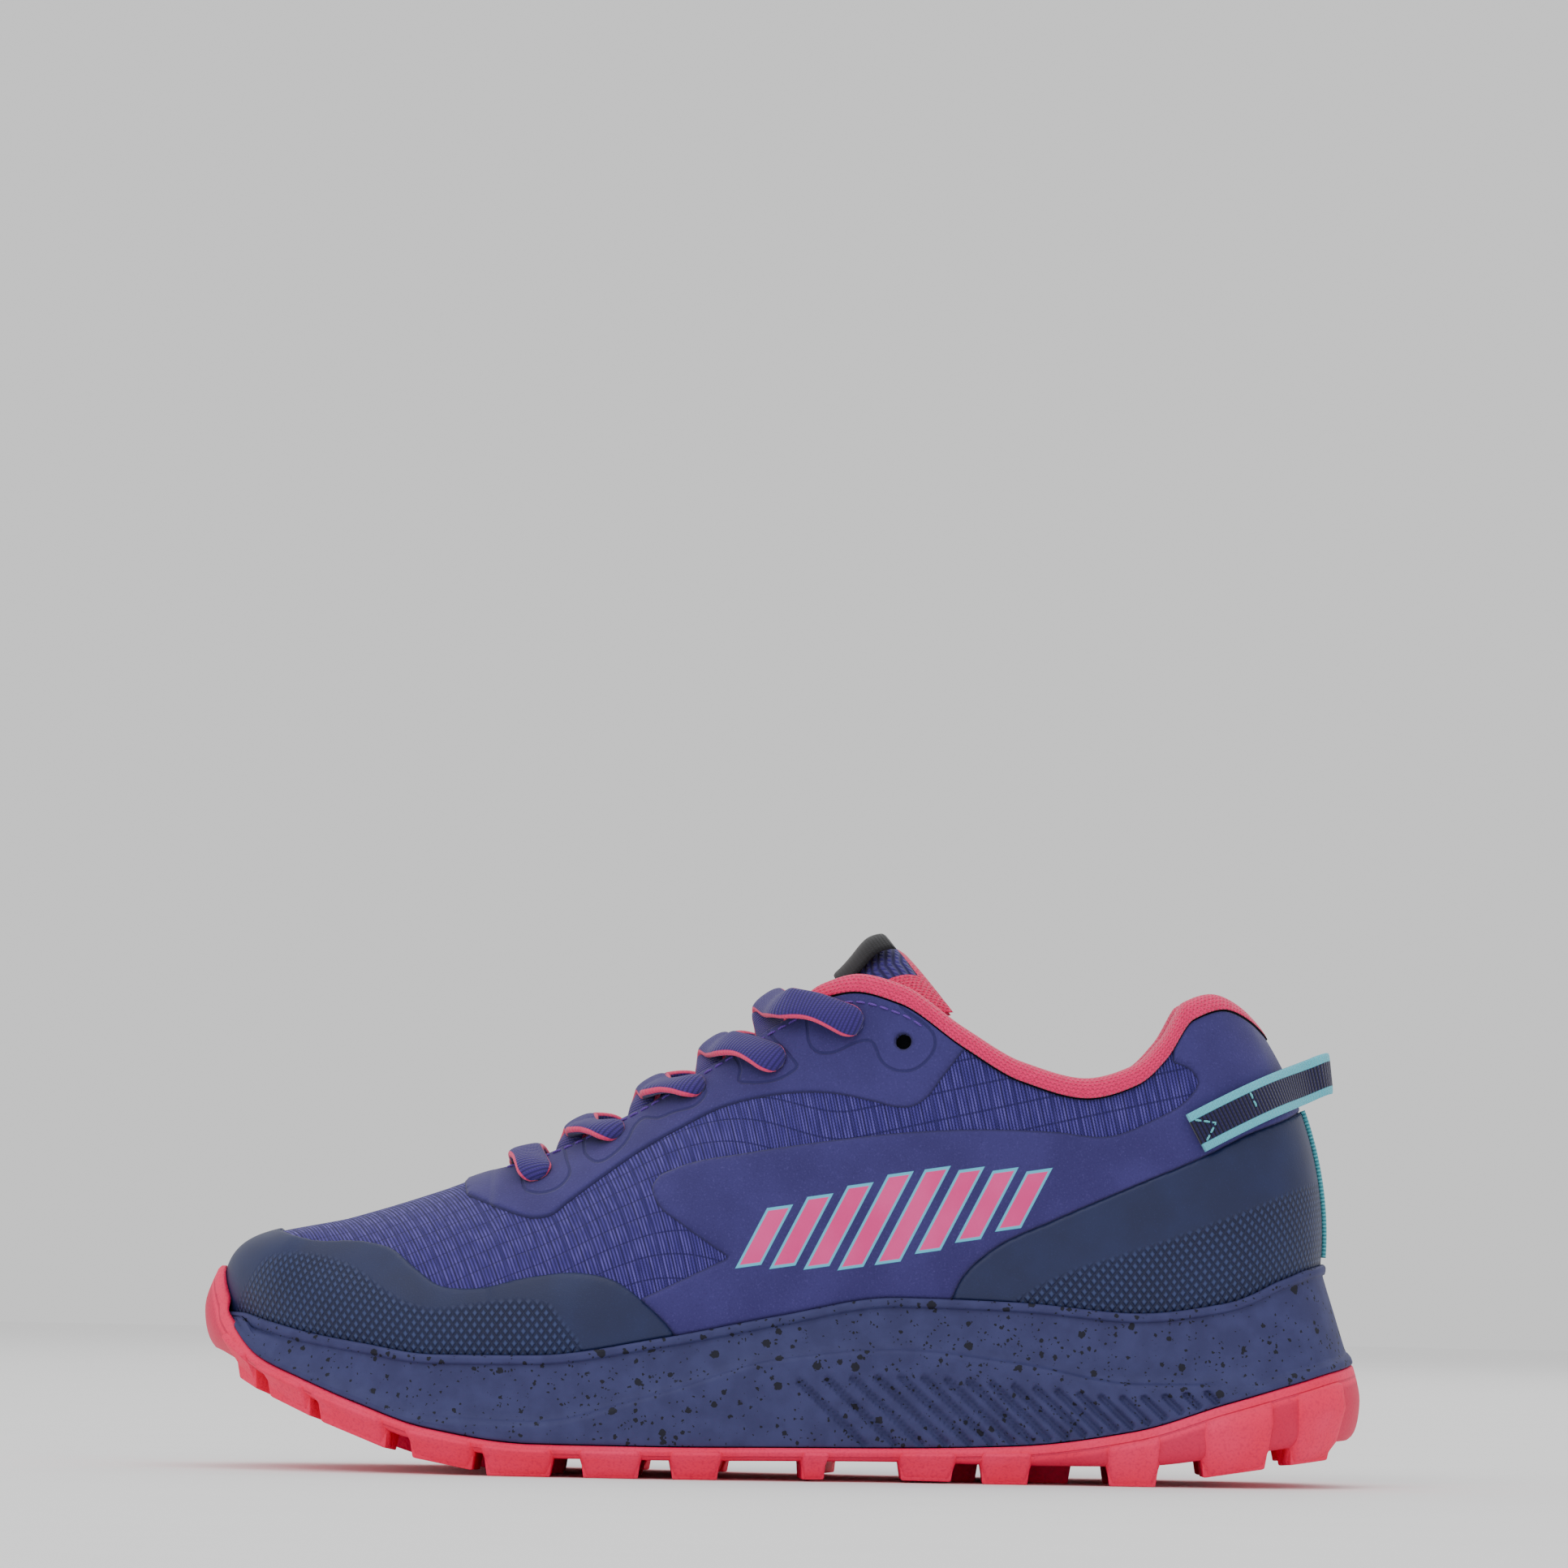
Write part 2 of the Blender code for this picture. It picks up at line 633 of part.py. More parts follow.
def build_midsole(parts, cutters, finish):
    """Foam cup that carries the foot, with a wave along its side, a rim and slanted ribs."""
    rim, rim_in, cup = sole("rim"), inset_of("rim"), inset_of("cup")
    tucked = STATION <= BUMPER_END + 1e-6
    ledge = np.minimum(sole("joint") + GAP, rim - 0.0016)
    ledge_in = np.where(tucked, cup + CUP_GAP, inset_of("joint"))
    ridge = np.maximum(sole("ridge"), ledge + 0.0004)
    groove = np.maximum(ridge + 0.0003, np.minimum(ridge + 0.0024, rim - RIM_BAND - 0.0008))
    band_low = np.maximum(groove + 0.0002, rim - RIM_BAND)
    groove_in = inset_of("ridge") + 0.75 * (rim_in - inset_of("ridge"))
    rings = [
        spine(lambda x: web_top(x) + GAP),
        level(cup + 2 * CUP_GAP, lambda x: web_top(x) + GAP),
        level(cup + CUP_GAP, ledge),
        level(ledge_in, ledge),
        level(inset_of("ridge"), ridge),
        level(groove_in, groove),
        level(rim_in + 0.0008, band_low),
        level(rim_in, np.maximum(band_low + 0.0002, rim - RIM_BAND + 0.0005)),
        level(rim_in + 0.0002, rim),
        level(rim_in + RIM_LIP, rim),
        level(feather(STATION) + FEATHER_STEP - CUP_GAP, footbed),
        spine(footbed),
    ]
    midsole = ring_loft("midsole", rings, parts, finish)
    combine(midsole, joined("rib_cutters", list(rib_cutters(cutters)), cutters), "DIFFERENCE")


def rib_cutters(group):
    """Bars that cut the slanted ribs into both sides, from the wave down to the rubber."""
    for k in range(RIB_COUNT):
        top = 0.516 + 0.346 * (k / (RIB_COUNT - 1)) ** 0.93
        ceiling = float(sole("joint", top) + 0.72 * (sole("ridge", top) - sole("joint", top)))
        drop = ceiling - float(sole("joint", top)) - 0.0008
        foot = top + drop / math.tan(RIB_ANGLE) / LENGTH
        drop = ceiling - float(sole("joint", foot)) - 0.0010
        foot = top + drop / math.tan(RIB_ANGLE) / LENGTH
        for name, turn in (("lateral", 1), ("medial", -1)):
            theta = turn * angle_of(np.array([top, foot]))
            share = np.array([0.72, 0.12])
            inset = inset_of("joint", np.array([top, foot])) * (1 - share)
            inset += inset_of("ridge", np.array([top, foot])) * share
            points = edge(theta, inset)
            path = np.column_stack([points, [ceiling, ceiling - drop]])
            away = np.append(outward(theta).mean(0), 0.0)
            across = np.cross(path[1] - path[0], away)
            across /= np.linalg.norm(across)
            corners = np.array([[p - across * RIB_WIDTH / 2, p + across * RIB_WIDTH / 2] for p in path])
            yield slab(f"rib_{name}_{k}", corners + away * 0.002, corners - away * RIB_DEPTH, group)


def build_insole(parts, finish):
    """Loose footbed on the midsole's floor, inside the upper."""
    inset = feather(STATION) + FEATHER_STEP + WALL + 2 * CUP_GAP
    rings = [
        spine(lambda x: footbed(x) + GAP),
        level(inset, lambda x: footbed(x) + GAP),
        level(inset + 0.0006, lambda x: footbed(x) + INSOLE_THICK),
        spine(lambda x: footbed(x) + INSOLE_THICK),
    ]
    ring_loft("insole", rings, parts, finish)


def walled(name, rises, offset, thick, side, group, finish):
    """Open surface of the upper at an offset, given a wall inwards (-1) or outwards (1)."""
    theta, rise = np.meshgrid(THETA, rises)
    surface = skin_off(theta, rise, np.where(rise < 0, 0.0, offset))
    made = add_object(name, surface, grid_faces(len(rises), len(THETA), True), group, finish)
    wall = made.modifiers.new("wall", "SOLIDIFY")
    wall.thickness = thick
    wall.offset = side
    wall.use_even_offset = True
    return made


def eyelet_cutters(group):
    """Pins through both rows of eyelets, square to the upper."""
    for k, (station, height) in enumerate(zip(EYELETS["station"], EYELETS["height"])):
        theta, rise = locate(station, height)
        for name, turn in (("lateral", 1), ("medial", -1)):
            normal, _ = skin_frame(turn * theta, rise)
            work = bmesh.new()
            bmesh.ops.create_cone(
                work, cap_ends=True, segments=6, radius1=EYELET_RADIUS, radius2=EYELET_RADIUS, depth=0.010
            )
            turned = Vector(normal).to_track_quat("Z", "Y").to_matrix().to_4x4()
            turned.translation = Vector(skin(turn * theta, rise))
            work.transform(turned)
            mesh = bpy.data.meshes.new("eyelet")
            work.to_mesh(mesh)
            work.free()
            made = bpy.data.objects.new(f"eyelet_{name}_{k}", mesh)
            group.objects.link(made)
            yield made


def build_upper(parts, cutters, finish):
    """Hollow knitted upper, open at collar, throat and underneath, with its eyelets."""
    pins = joined("eyelet_cutters", list(eyelet_cutters(cutters)), cutters)
    combine(walled("upper", (-1.0,) + RISES, 0.0, WALL, -1.0, parts, finish), pins, "DIFFERENCE")
    return pins


def shifted(outline, distance):
    """Edge of stations and heights moved square to itself, upwards where it runs backwards."""
    scale = np.array([LENGTH, UPPER_HEIGHT])
    points = np.array(outline) * scale
    along = np.gradient(points, axis=0)
    away = np.column_stack([-along[:, 1], along[:, 0]]) / np.linalg.norm(along, axis=1, keepdims=True)
    return tuple(tuple(point) for point in (points + away * distance) / scale)


def build_overlays(parts, cutters, pins, finishes):
    """Toe cap, heel counter, side panels and eyestay, cut from one layer over the upper."""
    wide = BALL_WIDTH
    split = float(centre(np.array(1.0)))
    cap = ((-0.05, 0.10), (-0.05, 0.60), (0.064, 0.60)) + shifted(CAP_EDGE, -GAP / 2)
    counter = ((1.05, 0.10),) + shifted(COUNTER_EDGE, -GAP / 2)
    panel = shifted(COUNTER_EDGE, GAP / 2) + ((1.05, 1.10), (0.824, 1.10))
    panel += PANEL_FRONT + shifted(CAP_EDGE[-3:], GAP / 2)
    eyestay = EYESTAY_EDGE + ((0.665, 0.90), (0.665, 1.20), (0.205, 1.20), (0.222, 0.60))
    cuts = (
        ("toe_cap", cap, -wide, wide, "toe_cap"),
        ("heel_counter", counter, -wide, wide, "toe_cap"),
        ("side_panel_lateral", panel, -wide, split - GAP, "panel"),
        ("side_panel_medial", panel, split + GAP, wide, "panel"),
        ("eyestay", eyestay, -wide, wide, "panel"),
    )
    for name, outline, low, high, finish in cuts:
        layer = walled(name, (0.010,) + RISES[1:], LAYER_GAP, OVERLAY, 1.0, parts, finishes[finish])
        combine(layer, prism(name + "_outline", outline, low, high, cutters), "INTERSECT")
        if name == "eyestay":
            combine(layer, pins, "DIFFERENCE")


def roll_ribs():
    """Angles of the ribs that the collar covers, from the lateral front round the heel."""
    half = THETA[(STATION > ROLL_START) & (THETA <= math.pi)]
    return np.concatenate([half, 2 * math.pi - half[-2::-1]])


def build_collar(parts, finish):
    """Padded knitted collar: a roll over the topline and a pad down the inside."""
    theta = roll_ribs()
    station = 0.5 * (1 - np.cos(theta))
    normal, up = skin_frame(theta, np.ones_like(theta))
    top = skin(theta, 1.0)
    pad = PAD * np.clip((station - ROLL_START) / (PAD_START - ROLL_START), 0.25, 1.0)
    over = LAYER_GAP + OVERLAY
    roll = ((over, 0.0004), (over + 0.0006, 0.0022), (over - 0.0004, 0.0042), (-0.0016, 0.0052))
    section = [top + normal * o + up * u for o, u in roll]
    inside = WALL + 2 * CUP_GAP
    section += [
        top - normal * (inside + 0.6 * pad)[:, None] + up * 0.0044,
        top - normal * (inside + pad)[:, None] + up * 0.0012,
        skin_off(theta, 0.5 * (1.0 + RISES[-2]), -(inside + pad)),
        skin_off(theta, RISES[-2], -(inside + 0.9 * pad)),
        skin_off(theta, RISES[-3], -(inside + 0.3 * pad)),
        skin_off(theta, RISES[-3], -inside),
        skin_off(theta, RISES[-2], -inside),
        top - normal * inside + up * 0.0012,
    ]
    points = np.array(section)
    count, ribs = points.shape[:2]
    faces = []
    for k in range(count):
        n = (k + 1) % count
        for r in range(ribs - 1):
            here, there = k * ribs + r, n * ribs + r
            faces += [(here, here + 1, there + 1), (here, there + 1, there)]
    faces.append(tuple(k * ribs for k in range(count)))
    faces.append(tuple(k * ribs + ribs - 1 for k in reversed(range(count))))
    add_object("collar", points, faces, parts, finish)


def free_tongue(station, across, depth=0.0):
    """Point of the tongue where it stands free, across from -1 to 1, or a depth below its face."""
    station, across = np.broadcast_arrays(np.asarray(station, float), np.asarray(across, float))
    crown = crown_height(station)
    share = (station - TONGUE_FREE) / (TONGUE["station"][-1] - TONGUE_FREE)
    slope = TONGUE_LEAN[0] + (TONGUE_LEAN[1] - TONGUE_LEAN[0]) * share
    half = BALL_WIDTH * smooth(TONGUE["station"], TONGUE["half"], station, False)
    drop = BALL_WIDTH * smooth(TONGUE["station"], TONGUE["drop"], station, False) * np.abs(across) ** 2.2
    drop = drop + depth
    steep = np.sqrt(1 + slope ** 2)
    y = centre(station) + across * (half - 0.4 * np.asarray(depth))
    x = place(station) + drop * slope / steep + TONGUE_SWEEP * share ** 2 * np.abs(across) ** 2
    return np.stack([x, y, crown - drop / steep], -1)


def crown_height(station):
    """Height of the tongue's middle line."""
    return UPPER_HEIGHT * smooth(TONGUE["station"], TONGUE["height"], station, False)


def tucked_tongue(station, across, depth=0.0):
    """Point of the tongue where the eyestay covers its wings: it follows the upper's inside, and bridges the gap."""
    side = np.where(across < 0, 1.0, -1.0)
    theta = side * angle_of(station)
    wing = np.clip(1.0 - (np.abs(across) - TUCK_EDGE) / (1 - TUCK_EDGE) * TUCK_RISE, 0.0, 1.0)
    room = np.interp(station, (0.30, ROLL_START), (TUCK_GAP, TUCK_GAP + 0.4 * PAD))
    under = skin_off(theta, wing, -(WALL + room + depth))
    bridge = under.copy()
    share = np.abs(across) / TUCK_EDGE
    middle = centre(station_at(under[..., 0]))
    bridge[..., 1] = middle + (under[..., 1] - middle) * share
    crown = crown_height(station_at(under[..., 0])) - depth
    bridge[..., 2] = crown + (under[..., 2] - crown) * share ** 2
    return np.where((np.abs(across) < TUCK_EDGE)[..., None], bridge, under)


def build_tongue(parts, finishes):
    """Padded tongue under the lacing, and the label that stands off its top."""
    columns = np.array([-1, -0.75, -TUCK_EDGE, -0.3, 0, 0.3, TUCK_EDGE, 0.75, 1])
    tucked, across = np.meshgrid(np.linspace(0.262, 0.495, 9), columns, indexing="ij")
    free, wide = np.meshgrid(np.linspace(TONGUE_FREE, TONGUE["station"][-1], 5), columns, indexing="ij")
    face = np.concatenate([tucked_tongue(tucked, across), free_tongue(free, wide)])
    thick = np.where(free > TONGUE_FREE + 0.01, TONGUE_TOP_THICK, 0.5 * (TONGUE_THICK + TONGUE_TOP_THICK))
    thick[-1] = TONGUE_THICK
    thick = thick * (1.0 - 0.6 * np.abs(wide))
    back = np.concatenate([tucked_tongue(tucked, across, TONGUE_THICK), free_tongue(free, wide, thick)])
    slab("tongue", face, back, parts, finishes["tongue"])

    station, across = np.meshgrid(np.linspace(0.545, 0.577, 4), np.linspace(-1, 1, 5), indexing="ij")
    share = 0.5 * LABEL_WIDTH / (BALL_WIDTH * TONGUE["half"][-3])
    stand = LABEL_SEAT + LABEL_STAND * (station - 0.545) / 0.032
    face = free_tongue(station, across * share, -(stand + LABEL_THICK))
    slab("tongue_label", face, free_tongue(station, across * share, -stand), parts, finishes["webbing"])


def throat_rib(x):
    """Angle of the lateral rib that ends at a place along the throat's edge."""
    theta = np.linspace(float(angle_of(THROAT + 0.006)), float(angle_of(0.60)), 200)
    return float(np.interp(x, skin(theta, 1.0)[:, 0], theta))


def lace_arm(hole, crossing, lift, turn):
    """Points and normals of a lace from over an eyelet to the middle line. Turn is 1 on the lateral side."""
    seat = LAYER_GAP + OVERLAY + LACE_GAP + LACE_THICK / 2
    start = skin(*hole)[0]
    rib = throat_rib(crossing + LACE_SWING * (start - crossing))
    steps = ((hole[0], hole[1]), (0.5 * (hole[0] + rib), 0.5 * (hole[1] + 1.0)), (rib, 1.0))
    points = [skin_off(turn * theta, rise, seat + lift * k / 2) for k, (theta, rise) in enumerate(steps)]
    normals = [skin_frame(turn * theta, rise)[0] for theta, rise in steps]
    station = station_at(crossing)
    crown = np.array([crossing, centre(station), crown_height(station) + LACE_GAP + LACE_THICK / 2 + lift])
    slope = (crown_height(station + 0.01) - crown_height(station - 0.01)) / (0.02 * LENGTH)
    top = np.array([-slope, 0.0, 1.0]) / math.hypot(slope, 1.0)
    ridge = 0.5 * (points[-1] + crown)
    ridge[2] += 0.25 * abs(points[-1][2] - crown[2])
    half = normals[-1] + top
    points += [ridge, crown]
    normals += [half / np.linalg.norm(half), top]
    return np.array(points), np.array(normals)


def lace_band(name, points, normals, group, finish=None):
    """Flat lace along points, lying square to their normals."""
    across = np.cross(np.gradient(points, axis=0), normals)
    return band(name, points, across, LACE_WIDTH, LACE_THICK, group, finish)


def build_laces(parts, cutters, finish):
    """Front bar and four crossings of flat lace, each from over an eyelet across the tongue."""
    holes = [locate(s, h) for s, h in zip(EYELETS["station"], EYELETS["height"])]
    near, facing = lace_arm(holes[0], place(LACE_CROSSINGS[0]), LACE_LIFT[0], 1)
    far, beyond = lace_arm(holes[0], place(LACE_CROSSINGS[0]), LACE_LIFT[0], -1)
    lace_band("lace_bar", np.vstack([near, far[-2::-1]]), np.vstack([facing, beyond[-2::-1]]), parts, finish)
    for k, crossing in enumerate(LACE_CROSSINGS[1:], 1):
        made = []
        for group, turn in ((parts, 1), (cutters, -1)):
            points, normals = lace_arm(holes[k], place(crossing), LACE_LIFT[k], turn)
            stub = points[-1] + (points[-1] - points[-2]) * [0.6, 0.6, 0.0]
            name = f"lace_cross_{k}" if turn > 0 else f"lace_mate_{k}"
            made.append(lace_band(name, np.vstack([points, stub]), np.vstack([normals, normals[-1:]]), group, finish))
        combine(made[0], made[1], "UNION")


def build_heel_trim(parts, finishes):
    """Braid down the heel's back, and the webbing loop round it."""
    out = LAYER_GAP + OVERLAY + GAP
    rise = np.linspace(0.03, 0.66, 8)
    path = skin_off(math.pi, rise, out + TAPE_THICK / 2)
    band("heel_tape", path, np.tile([0.0, 1.0, 0.0], (len(path), 1)), TAPE_WIDTH, TAPE_THICK, parts, finishes["tape"])

    seat = out + LOOP_THICK / 2 + LOOP_CLEAR
    seated = [locate(s, h) for s, h in LOOP_SEATS]
    middle = float(centre(np.array(1.0)))
    sides, faces = [], []
    for turn in (1, -1):
        held = np.array([skin_off(turn * theta, rise, seat) for theta, rise in seated])
        y = middle - turn * BALL_WIDTH * LOOP["side"]
        free = np.column_stack([place(LOOP["station"]), y, UPPER_HEIGHT * LOOP["height"]])
        away = free - [place(LOOP_HUB), middle, 0.0]
        away[:, 2] = 0.12 * away[:, 0]
        sides.append(np.vstack([held, free]))
        faces.append(np.vstack([[skin_frame(turn * theta, rise)[0] for theta, rise in seated], away]))
    corners = np.vstack([sides[0], sides[1][-2::-1]])
    normals = np.vstack([faces[0], faces[1][-2::-1]])
    normals /= np.linalg.norm(normals, axis=1, keepdims=True)
    at = np.linspace(0, len(corners) - 1, 2 * len(corners) - 1)
    knots = np.arange(len(corners), dtype=float)
    path, turned = (
        np.column_stack([hermite(knots, rows[:, k], np.gradient(rows[:, k]), at) for k in range(3)])
        for rows in (corners, normals)
    )
    across = np.cross(np.gradient(path, axis=0), turned)
    band("pull_loop", path, across, LOOP_WIDTH, LOOP_THICK, parts, finishes["webbing"])


def main():
    for old in list(bpy.data.objects):
        bpy.data.objects.remove(old, do_unlink=True)
    parts = bpy.data.collections.new("trail_running_shoe")
    cutters = bpy.data.collections.new("cutters")
    for group in (parts, cutters):
        bpy.context.scene.collection.children.link(group)

    build_outsole(parts, cutters, material("pink_rubber", (0.86, 0.10, 0.22), 0.65))
    build_midsole(parts, cutters, material("indigo_foam", (0.06, 0.07, 0.20), 0.70))
    build_insole(parts, material("insole_foam", (0.60, 0.10, 0.20), 0.90))
    pins = build_upper(parts, cutters, material("violet_knit", (0.09, 0.06, 0.28), 0.85))
    layers = {
        "toe_cap": material("navy_film", (0.03, 0.04, 0.13), 0.55),
        "panel": material("indigo_suede", (0.06, 0.06, 0.24), 0.80),
    }
    build_overlays(parts, cutters, pins, layers)
    build_collar(parts, material("pink_knit", (0.90, 0.12, 0.28), 0.90))
    soft = {
        "tongue": material("tongue_knit", (0.08, 0.06, 0.25), 0.85),
        "webbing": material("navy_webbing", (0.03, 0.03, 0.09), 0.70),
        "tape": material("turquoise_braid", (0.22, 0.55, 0.62), 0.75),
    }
    build_tongue(parts, soft)
    build_laces(parts, cutters, material("lace_weave", (0.10, 0.07, 0.30), 0.80))
    build_heel_trim(parts, soft)


main()
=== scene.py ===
"""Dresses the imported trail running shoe: a left shoe that stands empty on its sole.

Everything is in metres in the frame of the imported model. The toe points along -X, the outer (lateral)
side faces -Y, and the floor is Z = 0. A station is a share of the shoe's length from the toe.
"""
from __future__ import annotations

import logging
import math
from dataclasses import dataclass, field
from enum import Enum
from typing import Callable

import bmesh
import bpy
import numpy as np
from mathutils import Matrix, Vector

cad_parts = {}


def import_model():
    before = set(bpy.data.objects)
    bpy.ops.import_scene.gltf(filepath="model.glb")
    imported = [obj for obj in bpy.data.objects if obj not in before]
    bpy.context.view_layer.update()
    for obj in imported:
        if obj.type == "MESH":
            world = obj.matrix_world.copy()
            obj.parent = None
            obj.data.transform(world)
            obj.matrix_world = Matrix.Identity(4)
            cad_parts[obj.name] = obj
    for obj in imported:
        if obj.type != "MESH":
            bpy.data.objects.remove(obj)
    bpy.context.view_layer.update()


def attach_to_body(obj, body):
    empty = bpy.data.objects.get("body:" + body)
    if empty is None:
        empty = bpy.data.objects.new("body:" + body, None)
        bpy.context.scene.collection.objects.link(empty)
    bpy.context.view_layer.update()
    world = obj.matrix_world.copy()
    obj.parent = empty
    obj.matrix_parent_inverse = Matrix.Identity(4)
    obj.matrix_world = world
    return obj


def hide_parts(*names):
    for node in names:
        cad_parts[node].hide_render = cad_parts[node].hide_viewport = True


LOG = logging.getLogger("trail_shoe")
MM = 0.001
Array = np.ndarray
Table = dict[str, Array]


class Side(Enum):
    """The two sides of the shoe, as the turn round the outline that reaches them."""

    LATERAL = 1
    MEDIAL = -1


def table(columns: str, *rows: tuple[float, ...]) -> Table:
    """Names the columns of a table of rows."""
    return dict(zip(columns.split(), np.array(rows, float).T))


def fixed(value: Table | Array | tuple) -> object:
    """Field of a dataclass that starts as the given rows."""
    return field(default_factory=lambda: value)


def cubic(t: Array | float, first: Array, last: Array, start: Array, end: Array) -> Array:
    """Cubic from a first to a last value, with the slopes that it has at its start and end."""
    return first + (last - first) * t * t * (3 - 2 * t) + start * t * (1 - t) ** 2 - end * t * t * (1 - t)


def hermite(knots: Array, values: Array, slopes: Array, at: Array) -> Array:
    """Cubic between knots with a given slope at each knot.

    Args:
        knots: Rising parameter values.
        values: Value at each knot.
        slopes: Slope at each knot.
        at: Where the curve is read.

    Returns:
        The curve's values.
    """
    low = np.clip(np.searchsorted(knots, at) - 1, 0, len(knots) - 2)
    gap = knots[low + 1] - knots[low]
    t = np.clip((at - knots[low]) / gap, 0.0, 1.0)
    return cubic(t, values[low], values[low + 1], gap * slopes[low], gap * slopes[low + 1])


def smooth(knots: Array, values: Array, at: Array, flat_ends: bool = True) -> Array:
    """Curve through values that never swings past them: each slope is the harmonic mean of its neighbours.

    Args:
        knots: Rising parameter values.
        values: Value at each knot.
        at: Where the curve is read.
        flat_ends: Whether the curve is level at both ends.

    Returns:
        The curve's values.
    """
    secants = np.diff(values) / np.diff(knots)
    before, after = secants[:-1], secants[1:]
    same_way = before * after > 0
    slopes = np.zeros(len(values))
    slopes[1:-1][same_way] = 2 * (before * after)[same_way] / (before + after)[same_way]
    if not flat_ends:
        slopes[0], slopes[-1] = secants[0], secants[-1]
    return hermite(knots, values, slopes, at)


def curve_through(points: Array, count: int, closed: bool = False) -> Array:
    """Points spaced evenly along a Catmull-Rom curve through the given ones.

    Args:
        points: Rows of coordinates.
        count: Number of points returned.
        closed: Whether the curve returns to its first point.

    Returns:
        The new rows of coordinates.
    """
    points = np.asarray(points, float)
    if closed:
        points = np.vstack([points[-1], points, points[0], points[1]])
    steps = np.maximum(np.linalg.norm(np.diff(points, axis=0), axis=1), 1e-9)
    knots = np.concatenate([[0.0], np.cumsum(steps)])
    first, last = (knots[1], knots[-2]) if closed else (knots[0], knots[-1])
    at = np.linspace(first, last, count, endpoint=not closed)
    return np.column_stack([hermite(knots, c, np.gradient(c, knots), at) for c in points.T])


def unit(vectors: Array) -> Array:
    """Vectors scaled to length one."""
    return vectors / np.maximum(np.linalg.norm(vectors, axis=-1, keepdims=True), 1e-12)


def ease(low: float, high: float, value: Array) -> Array:
    """Smooth step from 0 at low to 1 at high."""
    t = np.clip((value - low) / (high - low), 0.0, 1.0)
    return t * t * (3 - 2 * t)


def dome(share: Array, least: float = 0.0) -> Array:
    """Quarter circle over a share from 0 to 1: it starts upright at 0 and ends level at 1."""
    return np.sqrt(1.0 - (1.0 - np.clip(share, least, 1.0)) ** 2)


def walk(points: Array, axis: int = 0) -> Array:
    """Length walked along one axis of a grid of points, from 0 at its start."""
    steps = np.diff(points, axis=axis, prepend=np.take(points, [0], axis))
    return np.cumsum(np.linalg.norm(steps, axis=-1), axis=axis)


def read_at(at: Array, knots: Array, values: Array) -> Array:
    """Rows of values read between their knots."""
    return np.column_stack([np.interp(at, knots, column) for column in values.T])


def signed_distance(points: Array, outline: Array) -> Array:
    """Distance of plane points from a closed outline, positive inside.

    Args:
        points: Rows of two coordinates.
        outline: The outline's corners.

    Returns:
        One distance a point, by the nearest edge, with its sign by the even-odd rule.
    """
    ends = np.roll(outline, -1, axis=0)
    best = np.full(len(points), np.inf)
    inside = np.zeros(len(points), bool)
    for a, b in zip(outline, ends):
        edge = b - a
        share = np.clip((points - a) @ edge / max(edge @ edge, 1e-18), 0.0, 1.0)
        best = np.minimum(best, np.linalg.norm(points - a - share[:, None] * edge, axis=1))
        crosses = (a[1] > points[:, 1]) != (b[1] > points[:, 1])
        reach = a[0] + (points[:, 1] - a[1]) * edge[0] / (edge[1] if edge[1] else 1e-18)
        inside ^= crosses & (points[:, 0] < reach)
    return np.where(inside, best, -best)


def signed_polyline(points: Array, outline: Array) -> Array:
    """Signed distance worked out in lots, which keeps the arrays small."""
    lots = np.array_split(points, max(1, len(points) // 20000))
    return np.concatenate([signed_distance(lot, outline) for lot in lots])


